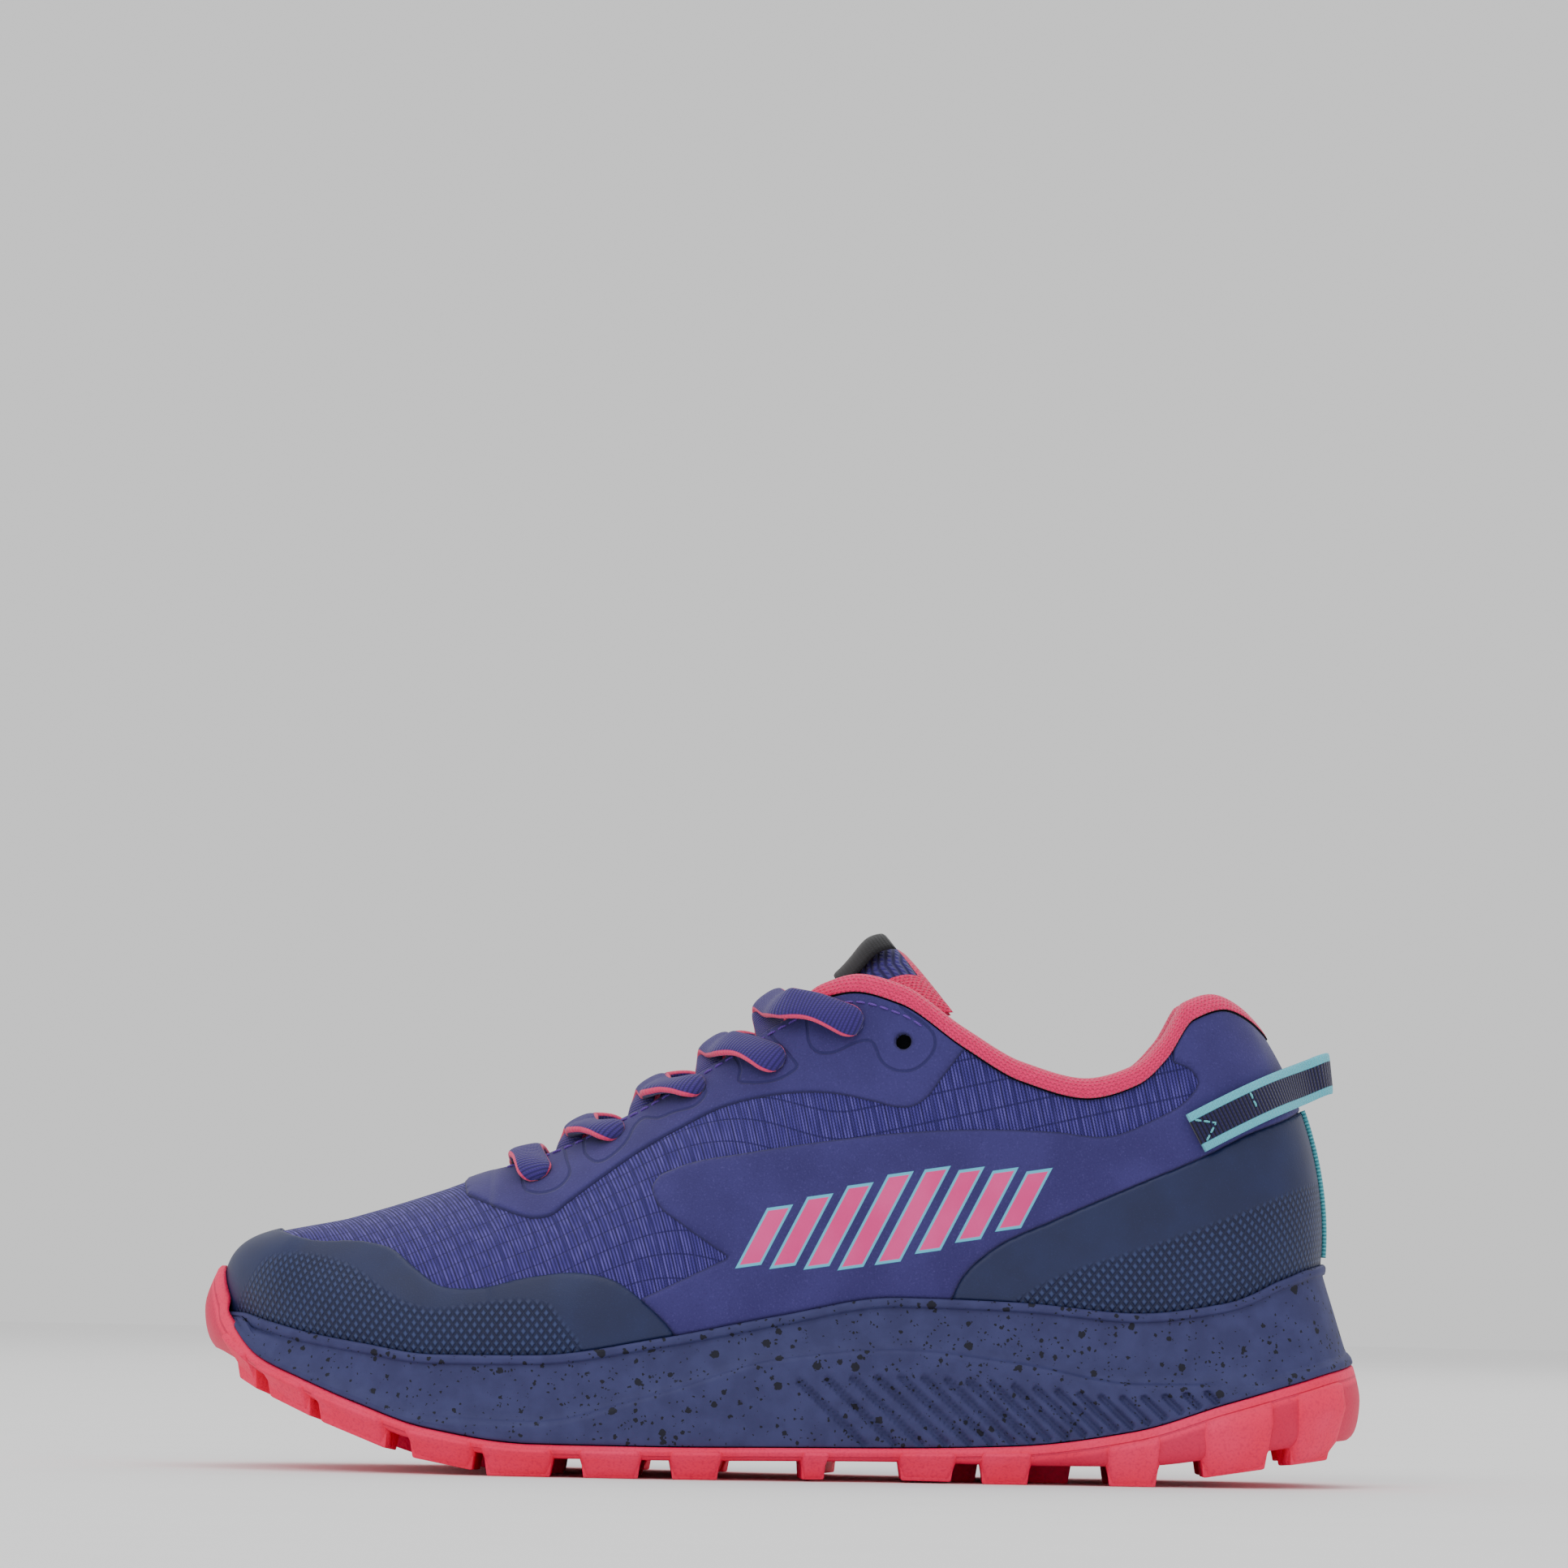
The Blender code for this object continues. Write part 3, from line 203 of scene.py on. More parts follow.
@dataclass(frozen=True)
class Last:
    """The shoe's form: its outline, the edges of its sole and the ribs of its upper."""

    length: float = 0.280
    ball_width: float = 0.104
    sole_height: float = 0.050
    upper_height: float = 0.120
    wall: float = 0.0018
    bulge: float = 0.0015
    vamp_slope: float = 0.22
    throat: float = 0.250
    rim_lip: float = 0.0017
    rim_gap: float = 0.0004
    feather_step: float = 0.0015
    rubber: float = 0.0030
    outline: Table = fixed(table(
        "station lateral medial",
        (0.000, 0.060, 0.060), (0.020, -0.130, 0.240), (0.075, -0.290, 0.385), (0.160, -0.405, 0.475),
        (0.260, -0.475, 0.500), (0.360, -0.500, 0.435), (0.480, -0.475, 0.325), (0.600, -0.425, 0.275),
        (0.720, -0.395, 0.305), (0.840, -0.385, 0.335), (0.930, -0.335, 0.305), (0.980, -0.220, 0.200),
        (1.000, -0.020, -0.020),
    ))
    sole_edges: Table = fixed(table(
        "station joint web ridge rim floor",
        (0.000, 0.960, 0.590, 0.724, 0.748, 0.690), (0.020, 0.710, 0.560, 0.722, 0.744, 0.680),
        (0.050, 0.536, 0.470, 0.590, 0.706, 0.630), (0.090, 0.436, 0.368, 0.490, 0.656, 0.550),
        (0.140, 0.326, 0.254, 0.380, 0.612, 0.460), (0.200, 0.218, 0.148, 0.268, 0.568, 0.390),
        (0.290, 0.154, 0.086, 0.250, 0.574, 0.350), (0.400, 0.152, 0.086, 0.400, 0.666, 0.360),
        (0.500, 0.158, 0.092, 0.568, 0.780, 0.420), (0.600, 0.164, 0.096, 0.620, 0.876, 0.490),
        (0.700, 0.182, 0.088, 0.566, 0.864, 0.540), (0.800, 0.260, 0.094, 0.476, 0.822, 0.570),
        (0.880, 0.398, 0.148, 0.480, 0.876, 0.590), (0.940, 0.494, 0.200, 0.560, 0.990, 0.600),
        (0.980, 0.556, 0.226, 0.620, 1.050, 0.600), (1.000, 0.588, 0.232, 0.660, 1.070, 0.600),
    ))
    insets: Table = fixed(table(
        "station joint cup ridge rim",
        (0.000, 0.034, 0.026, 0.030, 0.032), (0.020, 0.015, 0.030, 0.036, 0.040),
        (0.050, 0.008, 0.037, 0.015, 0.035), (0.140, 0.006, 0.035, 0.010, 0.031),
        (0.290, 0.006, 0.035, 0.009, 0.035), (0.500, 0.006, 0.035, 0.015, 0.042),
        (0.700, 0.006, 0.035, 0.017, 0.048), (0.880, 0.012, 0.039, 0.021, 0.062),
        (0.940, 0.015, 0.043, 0.027, 0.071), (1.000, 0.019, 0.048, 0.033, 0.086),
    ))
    ribs: Table = fixed(table(
        "station top half height lift over dip",
        (0.000, 0.129, 0.000, 0.504, 0.86, 0.72, 0.00), (0.050, 0.129, 0.000, 0.504, 0.86, 0.72, 0.00),
        (0.100, 0.136, 0.000, 0.510, 0.68, 0.58, 0.00), (0.140, 0.161, 0.000, 0.528, 0.60, 0.55, 0.00),
        (0.200, 0.207, 0.000, 0.564, 0.55, 0.55, 0.00), (0.245, 0.248, 0.000, 0.599, 0.52, 0.55, 0.02),
        (0.255, 0.255, 0.070, 0.602, 0.52, 0.52, 0.04), (0.290, 0.295, 0.091, 0.632, 0.50, 0.50, 0.10),
        (0.360, 0.368, 0.101, 0.716, 0.47, 0.50, 0.12), (0.430, 0.439, 0.115, 0.818, 0.45, 0.50, 0.13),
        (0.490, 0.500, 0.144, 0.910, 0.44, 0.48, 0.15), (0.530, 0.532, 0.178, 0.952, 0.43, 0.44, 0.18),
        (0.560, 0.559, 0.207, 0.966, 0.42, 0.40, 0.22), (0.600, 0.596, 0.240, 0.945, 0.41, 0.34, 0.26),
        (0.650, 0.650, 0.269, 0.861, 0.40, 0.28, 0.28), (0.700, 0.700, 0.284, 0.795, 0.40, 0.25, 0.30),
        (0.760, 0.755, 0.288, 0.764, 0.40, 0.25, 0.30), (0.810, 0.798, 0.277, 0.792, 0.40, 0.30, 0.30),
        (0.850, 0.823, 0.260, 0.845, 0.40, 0.40, 0.30), (0.890, 0.846, 0.236, 0.925, 0.40, 0.50, 0.30),
        (0.930, 0.871, 0.197, 0.945, 0.38, 0.60, 0.30), (0.970, 0.896, 0.130, 0.920, 0.36, 0.66, 0.29),
        (1.000, 0.912, 0.000, 0.888, 0.35, 0.70, 0.28),
    ))

    @staticmethod
    def angle_of(station: Array | float) -> Array:
        """Angle that spaces stations closely at toe and heel, from 0 at the toe to pi at the heel."""
        return np.arccos(1.0 - 2.0 * np.clip(station, 0.0, 1.0))

    @staticmethod
    def station_of(theta: Array) -> Array:
        """Station of an angle."""
        return 0.5 * (1 - np.cos(theta))

    def column(self, rows: Table, name: str, station: Array, flat_ends: bool = True) -> Array:
        """Value of a table's column at any station."""
        return smooth(self.angle_of(rows["station"]), rows[name], self.angle_of(station), flat_ends)

    def place(self, station: Array | float) -> Array:
        """X of a station."""
        return (np.asarray(station) - 0.5) * self.length

    def station_at(self, x: Array | float) -> Array:
        """Station of an X."""
        return np.asarray(x) / self.length + 0.5

    def plan(self, theta: Array) -> Array:
        """Outline seen from above: X is a cosine, Y is a cubic through both sides' widths."""
        knots = self.angle_of(self.outline["station"])
        around = np.concatenate([knots, 2 * math.pi - knots[-2:0:-1]])
        sides = np.concatenate([self.outline["lateral"], self.outline["medial"][-2:0:-1]])
        knots = np.concatenate([around[-2:] - 2 * math.pi, around, around[:3] + 2 * math.pi])
        sides = np.concatenate([sides[-2:], sides, sides[:3]])
        theta = np.mod(theta, 2 * math.pi)
        side = hermite(knots, sides, np.gradient(sides, knots), theta)
        return np.stack([-0.5 * self.length * np.cos(theta), self.ball_width * side], -1)

    def outward(self, theta: Array) -> Array:
        """Unit vector square to the outline, pointing away from the shoe."""
        tangent = unit(self.plan(theta + 1e-4) - self.plan(theta - 1e-4))
        return np.stack([tangent[..., 1], -tangent[..., 0]], -1)

    def facing(self, theta: Array) -> Array:
        """The same with a level Z."""
        return np.append(self.outward(theta), np.zeros((len(theta), 1)), 1)

    def edge(self, theta: Array, inset: Array | float) -> Array:
        """Outline moved inwards by a distance."""
        return self.plan(theta) - self.outward(theta) * np.asarray(inset)[..., None]

    def centre(self, station: Array | float) -> Array:
        """Y of the line halfway between the two sides."""
        theta = self.angle_of(station)
        return 0.5 * (self.plan(theta)[..., 1] + self.plan(-theta)[..., 1])

    def sole(self, name: str, station: Array) -> Array:
        """Height of one of the sole's edges."""
        return self.sole_height * self.column(self.sole_edges, name, station)

    def inset(self, name: str, station: Array) -> Array:
        """Distance of one of the sole's edges from the outline."""
        return self.ball_width * self.column(self.insets, name, station)

    def web(self, x: Array) -> Array:
        """Height of the outsole's underside between the lugs."""
        return self.sole("web", self.station_at(x))

    def footbed(self, x: Array) -> Array:
        """Height of the midsole's floor."""
        return self.sole("floor", self.station_at(x))

    def feather(self, station: Array) -> Array:
        """Inset of the upper where it leaves the midsole's rim."""
        return self.inset("rim", station) + self.rim_lip + self.rim_gap

    def skin(self, theta: Array, rise: Array) -> Array:
        """Outside of the upper: cubic ribs from the rim (0) to the top (1), and down to the footbed (-1)."""
        theta, rise = np.broadcast_arrays(np.asarray(theta, float), np.asarray(rise, float))
        station = self.station_of(theta)
        lateral = np.where(np.mod(theta, 2 * math.pi) <= math.pi, -1.0, 1.0)
        feather = self.feather(station)
        start = np.concatenate([self.edge(theta, feather), self.sole("rim", station)[..., None]], -1)
        foot = self.edge(theta, feather + self.feather_step)
        foot = np.concatenate([foot, self.footbed(foot[..., 0])[..., None]], -1)
        top_station = self.column(self.ribs, "top", station)
        half = self.ball_width * self.column(self.ribs, "half", station, False)
        height = self.upper_height * self.column(self.ribs, "height", station)
        end = np.stack([self.place(top_station), self.centre(top_station) + lateral * half, height], -1)
        tall = end[..., 2] - start[..., 2]
        first = start.copy()
        first[..., :2] += self.bulge * self.outward(theta)
        first[..., 2] += self.column(self.ribs, "lift", station) * tall
        second = end.copy()
        reach = self.column(self.ribs, "over", station)[..., None] * (start - end)[..., :2]
        second[..., :2] += reach
        slope = np.where(station < self.throat, self.vamp_slope, 0.0)
        second[..., 2] += slope * reach[..., 0] - self.column(self.ribs, "dip", station) * tall
        t = np.clip(rise, 0.0, 1.0)[..., None]
        s = 1 - t
        arch = start * s ** 3 + 3 * first * t * s ** 2 + 3 * second * t * t * s + end * t ** 3
        low = np.clip(-rise, 0.0, 1.0)[..., None]
        return np.where(rise[..., None] < 0, start + (foot - start) * low, arch)

    def skin_frame(self, theta: Array, rise: Array) -> tuple[Array, Array]:
        """Outward normal and upward tangent of the upper."""
        step = 1e-3
        rise = np.clip(rise, 0.02, 0.985)
        around = self.skin(theta + step, rise) - self.skin(theta - step, rise)
        up = self.skin(theta, rise + 0.01) - self.skin(theta, rise - 0.01)
        return unit(np.cross(around, up)), unit(up)

    def skin_off(self, theta: Array, rise: Array, distance: Array | float) -> Array:
        """Point at a distance outside the upper, or inside where the distance is negative."""
        theta, rise = np.broadcast_arrays(np.asarray(theta, float), np.asarray(rise, float))
        normal, _ = self.skin_frame(theta, rise)
        station = self.station_of(theta)
        ridge = (station < self.throat) & (rise > 0.999)
        normal[ridge] = unit(np.array([-self.vamp_slope, 0.0, 1.0]))
        return self.skin(theta, rise) + normal * np.asarray(distance)[..., None]

    def locate(self, station: float, height: float) -> Array:
        """Angle and rise of the lateral point that the side view shows at a station and a height."""
        low, high = np.array([0.05, 0.0]), np.array([math.pi - 0.05, 1.0])
        goal = np.array([self.place(station), height * self.upper_height])
        found = low
        for _ in range(6):
            theta, rise = np.meshgrid(np.linspace(low[0], high[0], 41), np.linspace(low[1], high[1], 41))
            miss = np.linalg.norm(self.skin(theta, rise)[..., [0, 2]] - goal, axis=-1)
            best = np.unravel_index(np.argmin(miss), miss.shape)
            found = np.array([theta[best], rise[best]])
            span = 0.15 * (high - low)
            low, high = np.maximum(found - span, 0.0), np.minimum(found + span, [math.pi, 1.0])
        return found

    def angles(self, count: int) -> Array:
        """Angles round the outline, mirrored about its ends and spaced evenly along it."""
        dense = np.linspace(0.0, math.pi, 4001)
        middle = 0.5 * (self.plan(dense) + self.plan(-dense) * [1.0, -1.0])
        walked = walk(middle)
        half = np.interp(np.linspace(0.0, walked[-1], count // 2 + 1), walked, dense)
        return np.concatenate([half, 2 * math.pi - half[-2:0:-1]])


@dataclass
class Net:
    """Points with faces and values: what a surface is before it becomes a mesh."""

    points: Array
    faces: list[Array]
    uv: Array | None = None
    values: dict[str, Array] = field(default_factory=dict)
    finish: list[Array] | None = None

    def turned(self) -> Net:
        """The same net with its faces turned round."""
        self.faces = [lot[:, ::-1] for lot in self.faces]
        return self

    def make(self, name: str, *materials: bpy.types.Material) -> bpy.types.Object:
        """Mesh object of the net.

        Args:
            name: The object's name.
            materials: Its material slots.

        Returns:
            The linked object, at the origin.
        """
        mesh = bpy.data.meshes.new(name)
        faces = [row for lot in self.faces for row in lot.tolist()]
        mesh.from_pydata(self.points.tolist(), [], faces)
        corners = np.zeros(len(mesh.loops), np.int32)
        mesh.loops.foreach_get("vertex_index", corners)
        if self.uv is not None:
            layer = mesh.uv_layers.new(name="surface_mm")
            layer.data.foreach_set("uv", self.uv[corners].astype(np.float32).ravel())
        for key, value in self.values.items():
            attribute = mesh.attributes.new(key, "FLOAT", "POINT")
            attribute.data.foreach_set("value", value.astype(np.float32))
        for material in materials:
            mesh.materials.append(material)
        if self.finish is not None:
            mesh.polygons.foreach_set("material_index", np.concatenate(self.finish).astype(np.int32))
        mesh.polygons.foreach_set("use_smooth", np.ones(len(mesh.polygons), bool))
        mesh.update()
        made = bpy.data.objects.new(name, mesh)
        bpy.context.scene.collection.objects.link(made)
        return made


def grid_quads(rows: int, columns: int, wrap: bool = False) -> Array:
    """Quads of a grid of points, closed round its columns if wrap is set."""
    across = np.arange(columns if wrap else columns - 1)
    first, c = np.meshgrid(np.arange(rows - 1) * columns, across, indexing="ij")
    d, next_row = (c + 1) % columns, first + columns
    return np.stack([first + c, first + d, next_row + d, next_row + c], -1).reshape(-1, 4)


def open_edges(faces: list[Array]) -> Array:
    """Directed edges that only one face uses."""
    pairs = [np.stack([lot, np.roll(lot, -1, axis=1)], -1).reshape(-1, 2) for lot in faces if len(lot)]
    edges = np.concatenate(pairs)
    size = int(edges.max()) + 1
    forward = edges[:, 0] * size + edges[:, 1]
    backward = edges[:, 1] * size + edges[:, 0]
    return edges[~np.isin(forward, backward)]


def thicken(outer: Array, inner: Array, faces: list[Array], uv: Array, values: dict[str, Array]) -> Net:
    """Closed shell between two copies of a surface.

    Args:
        outer: Points of the outside.
        inner: Points of the inside, one for each of the outside.
        faces: Faces of the outside, by point number.
        uv: Surface coordinates of the points.
        values: Further values of the points.

    Returns:
        The shell: the outside, the inside turned round, and a strip along every open edge.
    """
    used = np.unique(np.concatenate([lot.ravel() for lot in faces if len(lot)]))
    order = np.full(len(outer), -1)
    order[used] = np.arange(len(used))
    faces = [order[lot] for lot in faces if len(lot)]
    count = len(used)
    rim = open_edges(faces)
    strip = np.stack([rim[:, 1], rim[:, 0], rim[:, 0] + count, rim[:, 1] + count], -1)
    back = [lot[:, ::-1] + count for lot in faces]
    doubled = {key: np.tile(value[used], 2) for key, value in values.items()}
    doubled["inside"] = np.repeat([0.0, 1.0], count)
    points = np.concatenate([outer[used], inner[used]])
    return Net(points, faces + back + [strip], np.tile(uv[used], (2, 1)), doubled)


def slab(outer: Array, inner: Array, uv: Array) -> Net:
    """Closed form between two grids of points of the same size."""
    rows, columns = outer.shape[:2]
    quads = grid_quads(rows, columns)
    return thicken(outer.reshape(-1, 3), inner.reshape(-1, 3), [quads], uv.reshape(-1, 2), {})


def tube(rings: Array, uv: Array) -> Net:
    """Closed form through rings of points, with a fan over each end.

    Args:
        rings: Points as ring, place round the ring, coordinate.
        uv: Surface coordinates in the same order.

    Returns:
        The form.
    """
    count, around = rings.shape[:2]
    points = np.vstack([rings.reshape(-1, 3), rings[0].mean(0), rings[-1].mean(0)])
    spots = np.vstack([uv.reshape(-1, 2), uv[0].mean(0), uv[-1].mean(0)])
    here = np.arange(around)
    beside = (here + 1) % around
    end = (count - 1) * around
    fans = [
        np.stack([beside, here, np.full(around, count * around)], -1),
        np.stack([end + here, end + beside, np.full(around, count * around + 1)], -1),
    ]
    return Net(points, [grid_quads(count, around, True)] + fans, spots).turned()


def flat_oval(width: float, thick: float, count: int, power: float = 3.0) -> Array:
    """Section of a flat woven band: a superellipse, whose sides are fuller as the power grows."""
    turn = np.linspace(0, 2 * math.pi, count, endpoint=False)
    c, s = np.cos(turn), np.sin(turn)
    return np.stack([
        0.5 * width * np.sign(c) * np.abs(c) ** (2 / power),
        0.5 * thick * np.sign(s) * np.abs(s) ** (2 / power),
    ], -1)


def sweep(path: Array, normals: Array, section: Array, scale: Array | None = None) -> Net:
    """Section carried along a path, lying square to the normals.

    Args:
        path: Points of the path.
        normals: The way the section's thickness points at each of them.
        section: Across and thickness coordinates of the section.
        scale: Two factors a point for width and thickness, or none.

    Returns:
        A closed form whose surface coordinates are millimetres along and across.
    """
    along = unit(np.gradient(path, axis=0))
    across = unit(np.cross(along, normals))
    up = np.cross(across, along)
    scale = np.ones((len(path), 2)) if scale is None else scale
    wide = section[None, :, :1] * scale[:, None, :1]
    tall = section[None, :, 1:] * scale[:, None, 1:]
    rings = path[:, None] + across[:, None] * wide + up[:, None] * tall
    shape = wide.shape[:2]
    uv = np.stack([np.broadcast_to(side, shape) for side in (walk(path)[:, None], section[None, :, 0])], -1)
    return tube(rings, uv / MM)


def merged(nets: list[Net]) -> Net:
    """Several nets as one."""
    points, faces, uv = [], [], []
    start = 0
    for net in nets:
        points.append(net.points)
        uv.append(net.uv if net.uv is not None else np.zeros((len(net.points), 2)))
        faces += [lot + start for lot in net.faces]
        start += len(net.points)
    return Net(np.concatenate(points), faces, np.concatenate(uv))


def stitches(path: Array, normals: Array, length: float, gap: float, thick: float) -> Net:
    """Row of sewn stitches: short rods with eight-sided sections that dip at both ends.

    Args:
        path: Points of the seam.
        normals: Outward normals at them.
        length: Length of one stitch.
        gap: Space between stitches.
        thick: Thread's diameter.

    Returns:
        The stitches as one net.
    """
    walked = walk(path)
    section = flat_oval(thick, thick, 8, 2.0)
    share = np.array([0.0, 0.12, 0.5, 0.88, 1.0])
    scale = np.array([0.35, 0.85, 1.0, 0.85, 0.35])
    lift = np.array([-0.55, 0.1, 0.3, 0.1, -0.55]) * thick
    made = []
    for start in np.arange(0.0, walked[-1] - length, length + gap):
        at = start + share * length
        points, facing = read_at(at, walked, path), unit(read_at(at, walked, normals))
        made.append(sweep(points + facing * lift[:, None], facing, section, np.repeat(scale[:, None], 2, 1)))
    return merged(made)


def linear(code: str) -> tuple[float, float, float, float]:
    """Linear colour of an sRGB hex value."""
    parts = [int(code[k:k + 2], 16) / 255 for k in (1, 3, 5)]
    turned = [c / 12.92 if c <= 0.04045 else ((c + 0.055) / 1.055) ** 2.4 for c in parts]
    return (*turned, 1.0)


class Signal:
    """One output in a node tree. Plain arithmetic on it adds math nodes."""

    def __init__(self, graph: Graph, socket: bpy.types.NodeSocket) -> None:
        """Keeps the graph that the output belongs to."""
        self.graph, self.socket = graph, socket

    def output(self, key: int | str) -> Signal:
        """Another output of the same node."""
        return Signal(self.graph, self.socket.node.outputs[key])

    def __add__(self, other: Signal | float) -> Signal:
        """Sum."""
        return self.graph.math("ADD", self, other)

    def __sub__(self, other: Signal | float) -> Signal:
        """Difference."""
        return self.graph.math("SUBTRACT", self, other)

    def __rsub__(self, other: float) -> Signal:
        """Difference from a number."""
        return self.graph.math("SUBTRACT", other, self)

    def __mul__(self, other: Signal | float) -> Signal:
        """Product."""
        return self.graph.math("MULTIPLY", self, other)

    def __truediv__(self, other: Signal | float) -> Signal:
        """Quotient."""
        return self.graph.math("DIVIDE", self, other)

    def __abs__(self) -> Signal:
        """Value without its sign."""
        return self.graph.math("ABSOLUTE", self)

    def floor(self) -> Signal:
        """Whole number at or below the value."""
        return self.graph.math("FLOOR", self)

    def above(self, other: Signal | float) -> Signal:
        """The larger of two values."""
        return self.graph.math("MAXIMUM", self, other)

    def step(self, low: float, high: float) -> Signal:
        """Smooth step of the value from 0 at low to 1 at high."""
        ends = {"Value": self, "From Min": low, "From Max": high}
        return self.graph.add("MapRange", ends, interpolation_type="SMOOTHSTEP")

    def stripe(self, period: float, low: float, high: float) -> Signal:
        """Stripes: 0 in the middle of each period, 1 at its ends, with the step between two shares."""
        share = self.graph.math("FRACT", self / period)
        return (abs(share - 0.5) * 2.0).step(low, high)


class Graph:
    """Node tree of one material, which ends in its Principled shader."""

    def __init__(self, name: str, roughness: float, **constants: float) -> None:
        """Starts a material.

        Args:
            name: The material's name.
            roughness: Its roughness.
            constants: Values of the shader's own sockets, by name with underscores for spaces.
        """
        self.material = bpy.data.materials.new(name)
        self.material.use_nodes = True
        self.tree = self.material.node_tree
        self.shader = self.tree.nodes["Principled BSDF"]
        self.shader.inputs["Roughness"].default_value = roughness
        for key, value in constants.items():
            self.shader.inputs[key.replace("_", " ")].default_value = value

    def add(self, kind: str, inputs: dict | None = None, out: int | str = 0, **settings: object) -> Signal:
        """Adds a node.

        Args:
            kind: Its type, without the leading word.
            inputs: Its inputs by name or number: a signal is linked, and any other value is set.
            out: The output that is returned.
            settings: The node's own properties.

        Returns:
            One of its outputs.
        """
        node = self.tree.nodes.new("ShaderNode" + kind)
        for key, value in settings.items():
            setattr(node, key, value)
        for key, value in (inputs or {}).items():
            if isinstance(value, Signal):
                self.tree.links.new(value.socket, node.inputs[key])
            else:
                node.inputs[key].default_value = value
        return Signal(self, node.outputs[out])

    def math(self, operation: str, *values: Signal | float) -> Signal:
        """Result of a sum, product or other operation on numbers and signals."""
        return self.add("Math", dict(enumerate(values)), operation=operation)

    def mix(self, factor: Signal, first: Signal | str, second: Signal | str) -> Signal:
        """Colour between two others, each a hex value or a signal."""
        colours = [linear(c) if isinstance(c, str) else c for c in (first, second)]
        return self.add("Mix", {0: factor, 6: colours[0], 7: colours[1]}, 2, data_type="RGBA")

    def split(self, vector: Signal) -> list[Signal]:
        """The three coordinates of a vector."""
        x = self.add("SeparateXYZ", {0: vector})
        return [x, x.output(1), x.output(2)]

    def surface(self, turn: float = 0.0) -> list[Signal]:
        """Millimetres along and across the piece's own surface, turned by an angle."""
        spot = self.add("UVMap", uv_map="surface_mm")
        return self.split(self.add("Mapping", {"Vector": spot, "Rotation": (0.0, 0.0, turn)}))[:2]

    def body(self) -> Signal:
        """Object coordinates in millimetres."""
        return self.add("VectorMath", {0: self.add("TexCoord", out="Object"), 3: 1 / MM}, operation="SCALE")

    def value(self, name: str) -> Signal:
        """Value that the mesh holds for each point."""
        return self.add("Attribute", out="Fac", attribute_name=name)

    def noise(self, size: float, detail: float = 2.0, vector: Signal | None = None) -> Signal:
        """Noise whose grains are about a size across, in the vector's unit or else in millimetres."""
        spot = vector or self.body()
        return self.add("TexNoise", {"Vector": spot, "Scale": 1.0 / size, "Detail": detail})

    def finish(self, colour: Signal, height: Signal | None = None, depth: float = 0.2) -> bpy.types.Material:
        """Links the colour and the relief.

        Args:
            colour: Base colour.
            height: Relief from 0 to 1, or none.
            depth: Millimetres that the relief spans.

        Returns:
            The finished material.
        """
        self.tree.links.new(colour.socket, self.shader.inputs["Base Color"])
        if height is not None:
            bump = self.add("Bump", {"Height": height, "Distance": depth * MM, "Strength": 1.0})
            self.tree.links.new(bump.socket, self.shader.inputs["Normal"])
        return self.material


@dataclass(frozen=True)
class RipstopKnit:
    """Polyester ripstop mesh, warp knitted: fine wales with open dots, crossed by sparse thicker yarns."""

    turn: float = math.radians(-13)
    wale: float = 0.78
    course: float = 0.72
    grid: tuple[float, float] = (2.8, 6.4)

    def material(self) -> bpy.types.Material:
        """Violet cloth with a painted highlight in streaks on the ridges of its wales, checked by the dark
        yarns.
        """
        g = Graph("violet_ripstop_knit", 0.85, Sheen_Weight=0.12, Specular_IOR_Level=0.25)
        u, v = g.surface(self.turn)
        wale = u.stripe(self.wale, 0.25, 0.85)
        staggered = v + (u / self.wale).floor() * (self.course / 2)
        dots = wale * staggered.stripe(self.course, 0.10, 0.80)
        highlight_streak = g.noise(1.0, vector=g.add("CombineXYZ", {0: u * 0.9, 1: v * 0.14})).step(0.35, 0.72)
        patch = g.noise(6.0).step(0.35, 0.70)
        lines = u.stripe(self.grid[0], 0.82, 0.95).above(v.stripe(self.grid[1], 0.90, 0.96))
        cloth = g.mix(patch * 0.5, "#2C2370", "#342A78")
        # Painted highlight: the wale ridges are paler, in random streaks.
        cloth = g.mix((1.0 - wale) * (highlight_streak * 0.6 + 0.25), cloth, "#6459AE")
        cloth = g.mix(dots * 0.80, cloth, "#160F48")
        cloth = g.mix(lines * 0.66, cloth, "#1A1350")
        return g.finish(cloth, 1.0 - dots - lines * 0.5, 0.22)


@dataclass(frozen=True)
class SlantedBars:
    """Row of plain slanted bars in an outline, in millimetres, taller in the middle of the row."""

    count: int = 8
    pitch: float = 8.8
    first: float = -9.0
    half_width: float = 2.4
    middle: float = 58.5
    climb: float = 0.16
    lean: float = 0.55
    reach: float = 10.5
    shorter: float = 1.3
    border: float = 0.70
    blur: float = 0.08

    def masks(self, g: Graph) -> tuple[Signal, Signal]:
        """Masks of the bars' ink and of their outlines."""
        x, _, z = g.split(g.body())
        tall = z - (x * self.climb + self.middle)
        slid = x - tall * self.lean
        place = (slid - self.first) / self.pitch
        across = abs(g.math("FRACT", place) - 0.5) * self.pitch
        away = abs(place.floor() - (self.count - 1) / 2)
        up = abs(tall) - (self.reach - away * self.shorter)
        ends = (self.first - slid).above(slid - (self.first + self.pitch * self.count))
        out = (across - self.half_width).above(up).above(ends)
        return tuple(1.0 - out.step(edge - self.blur, edge + self.blur) for edge in (0.0, self.border))


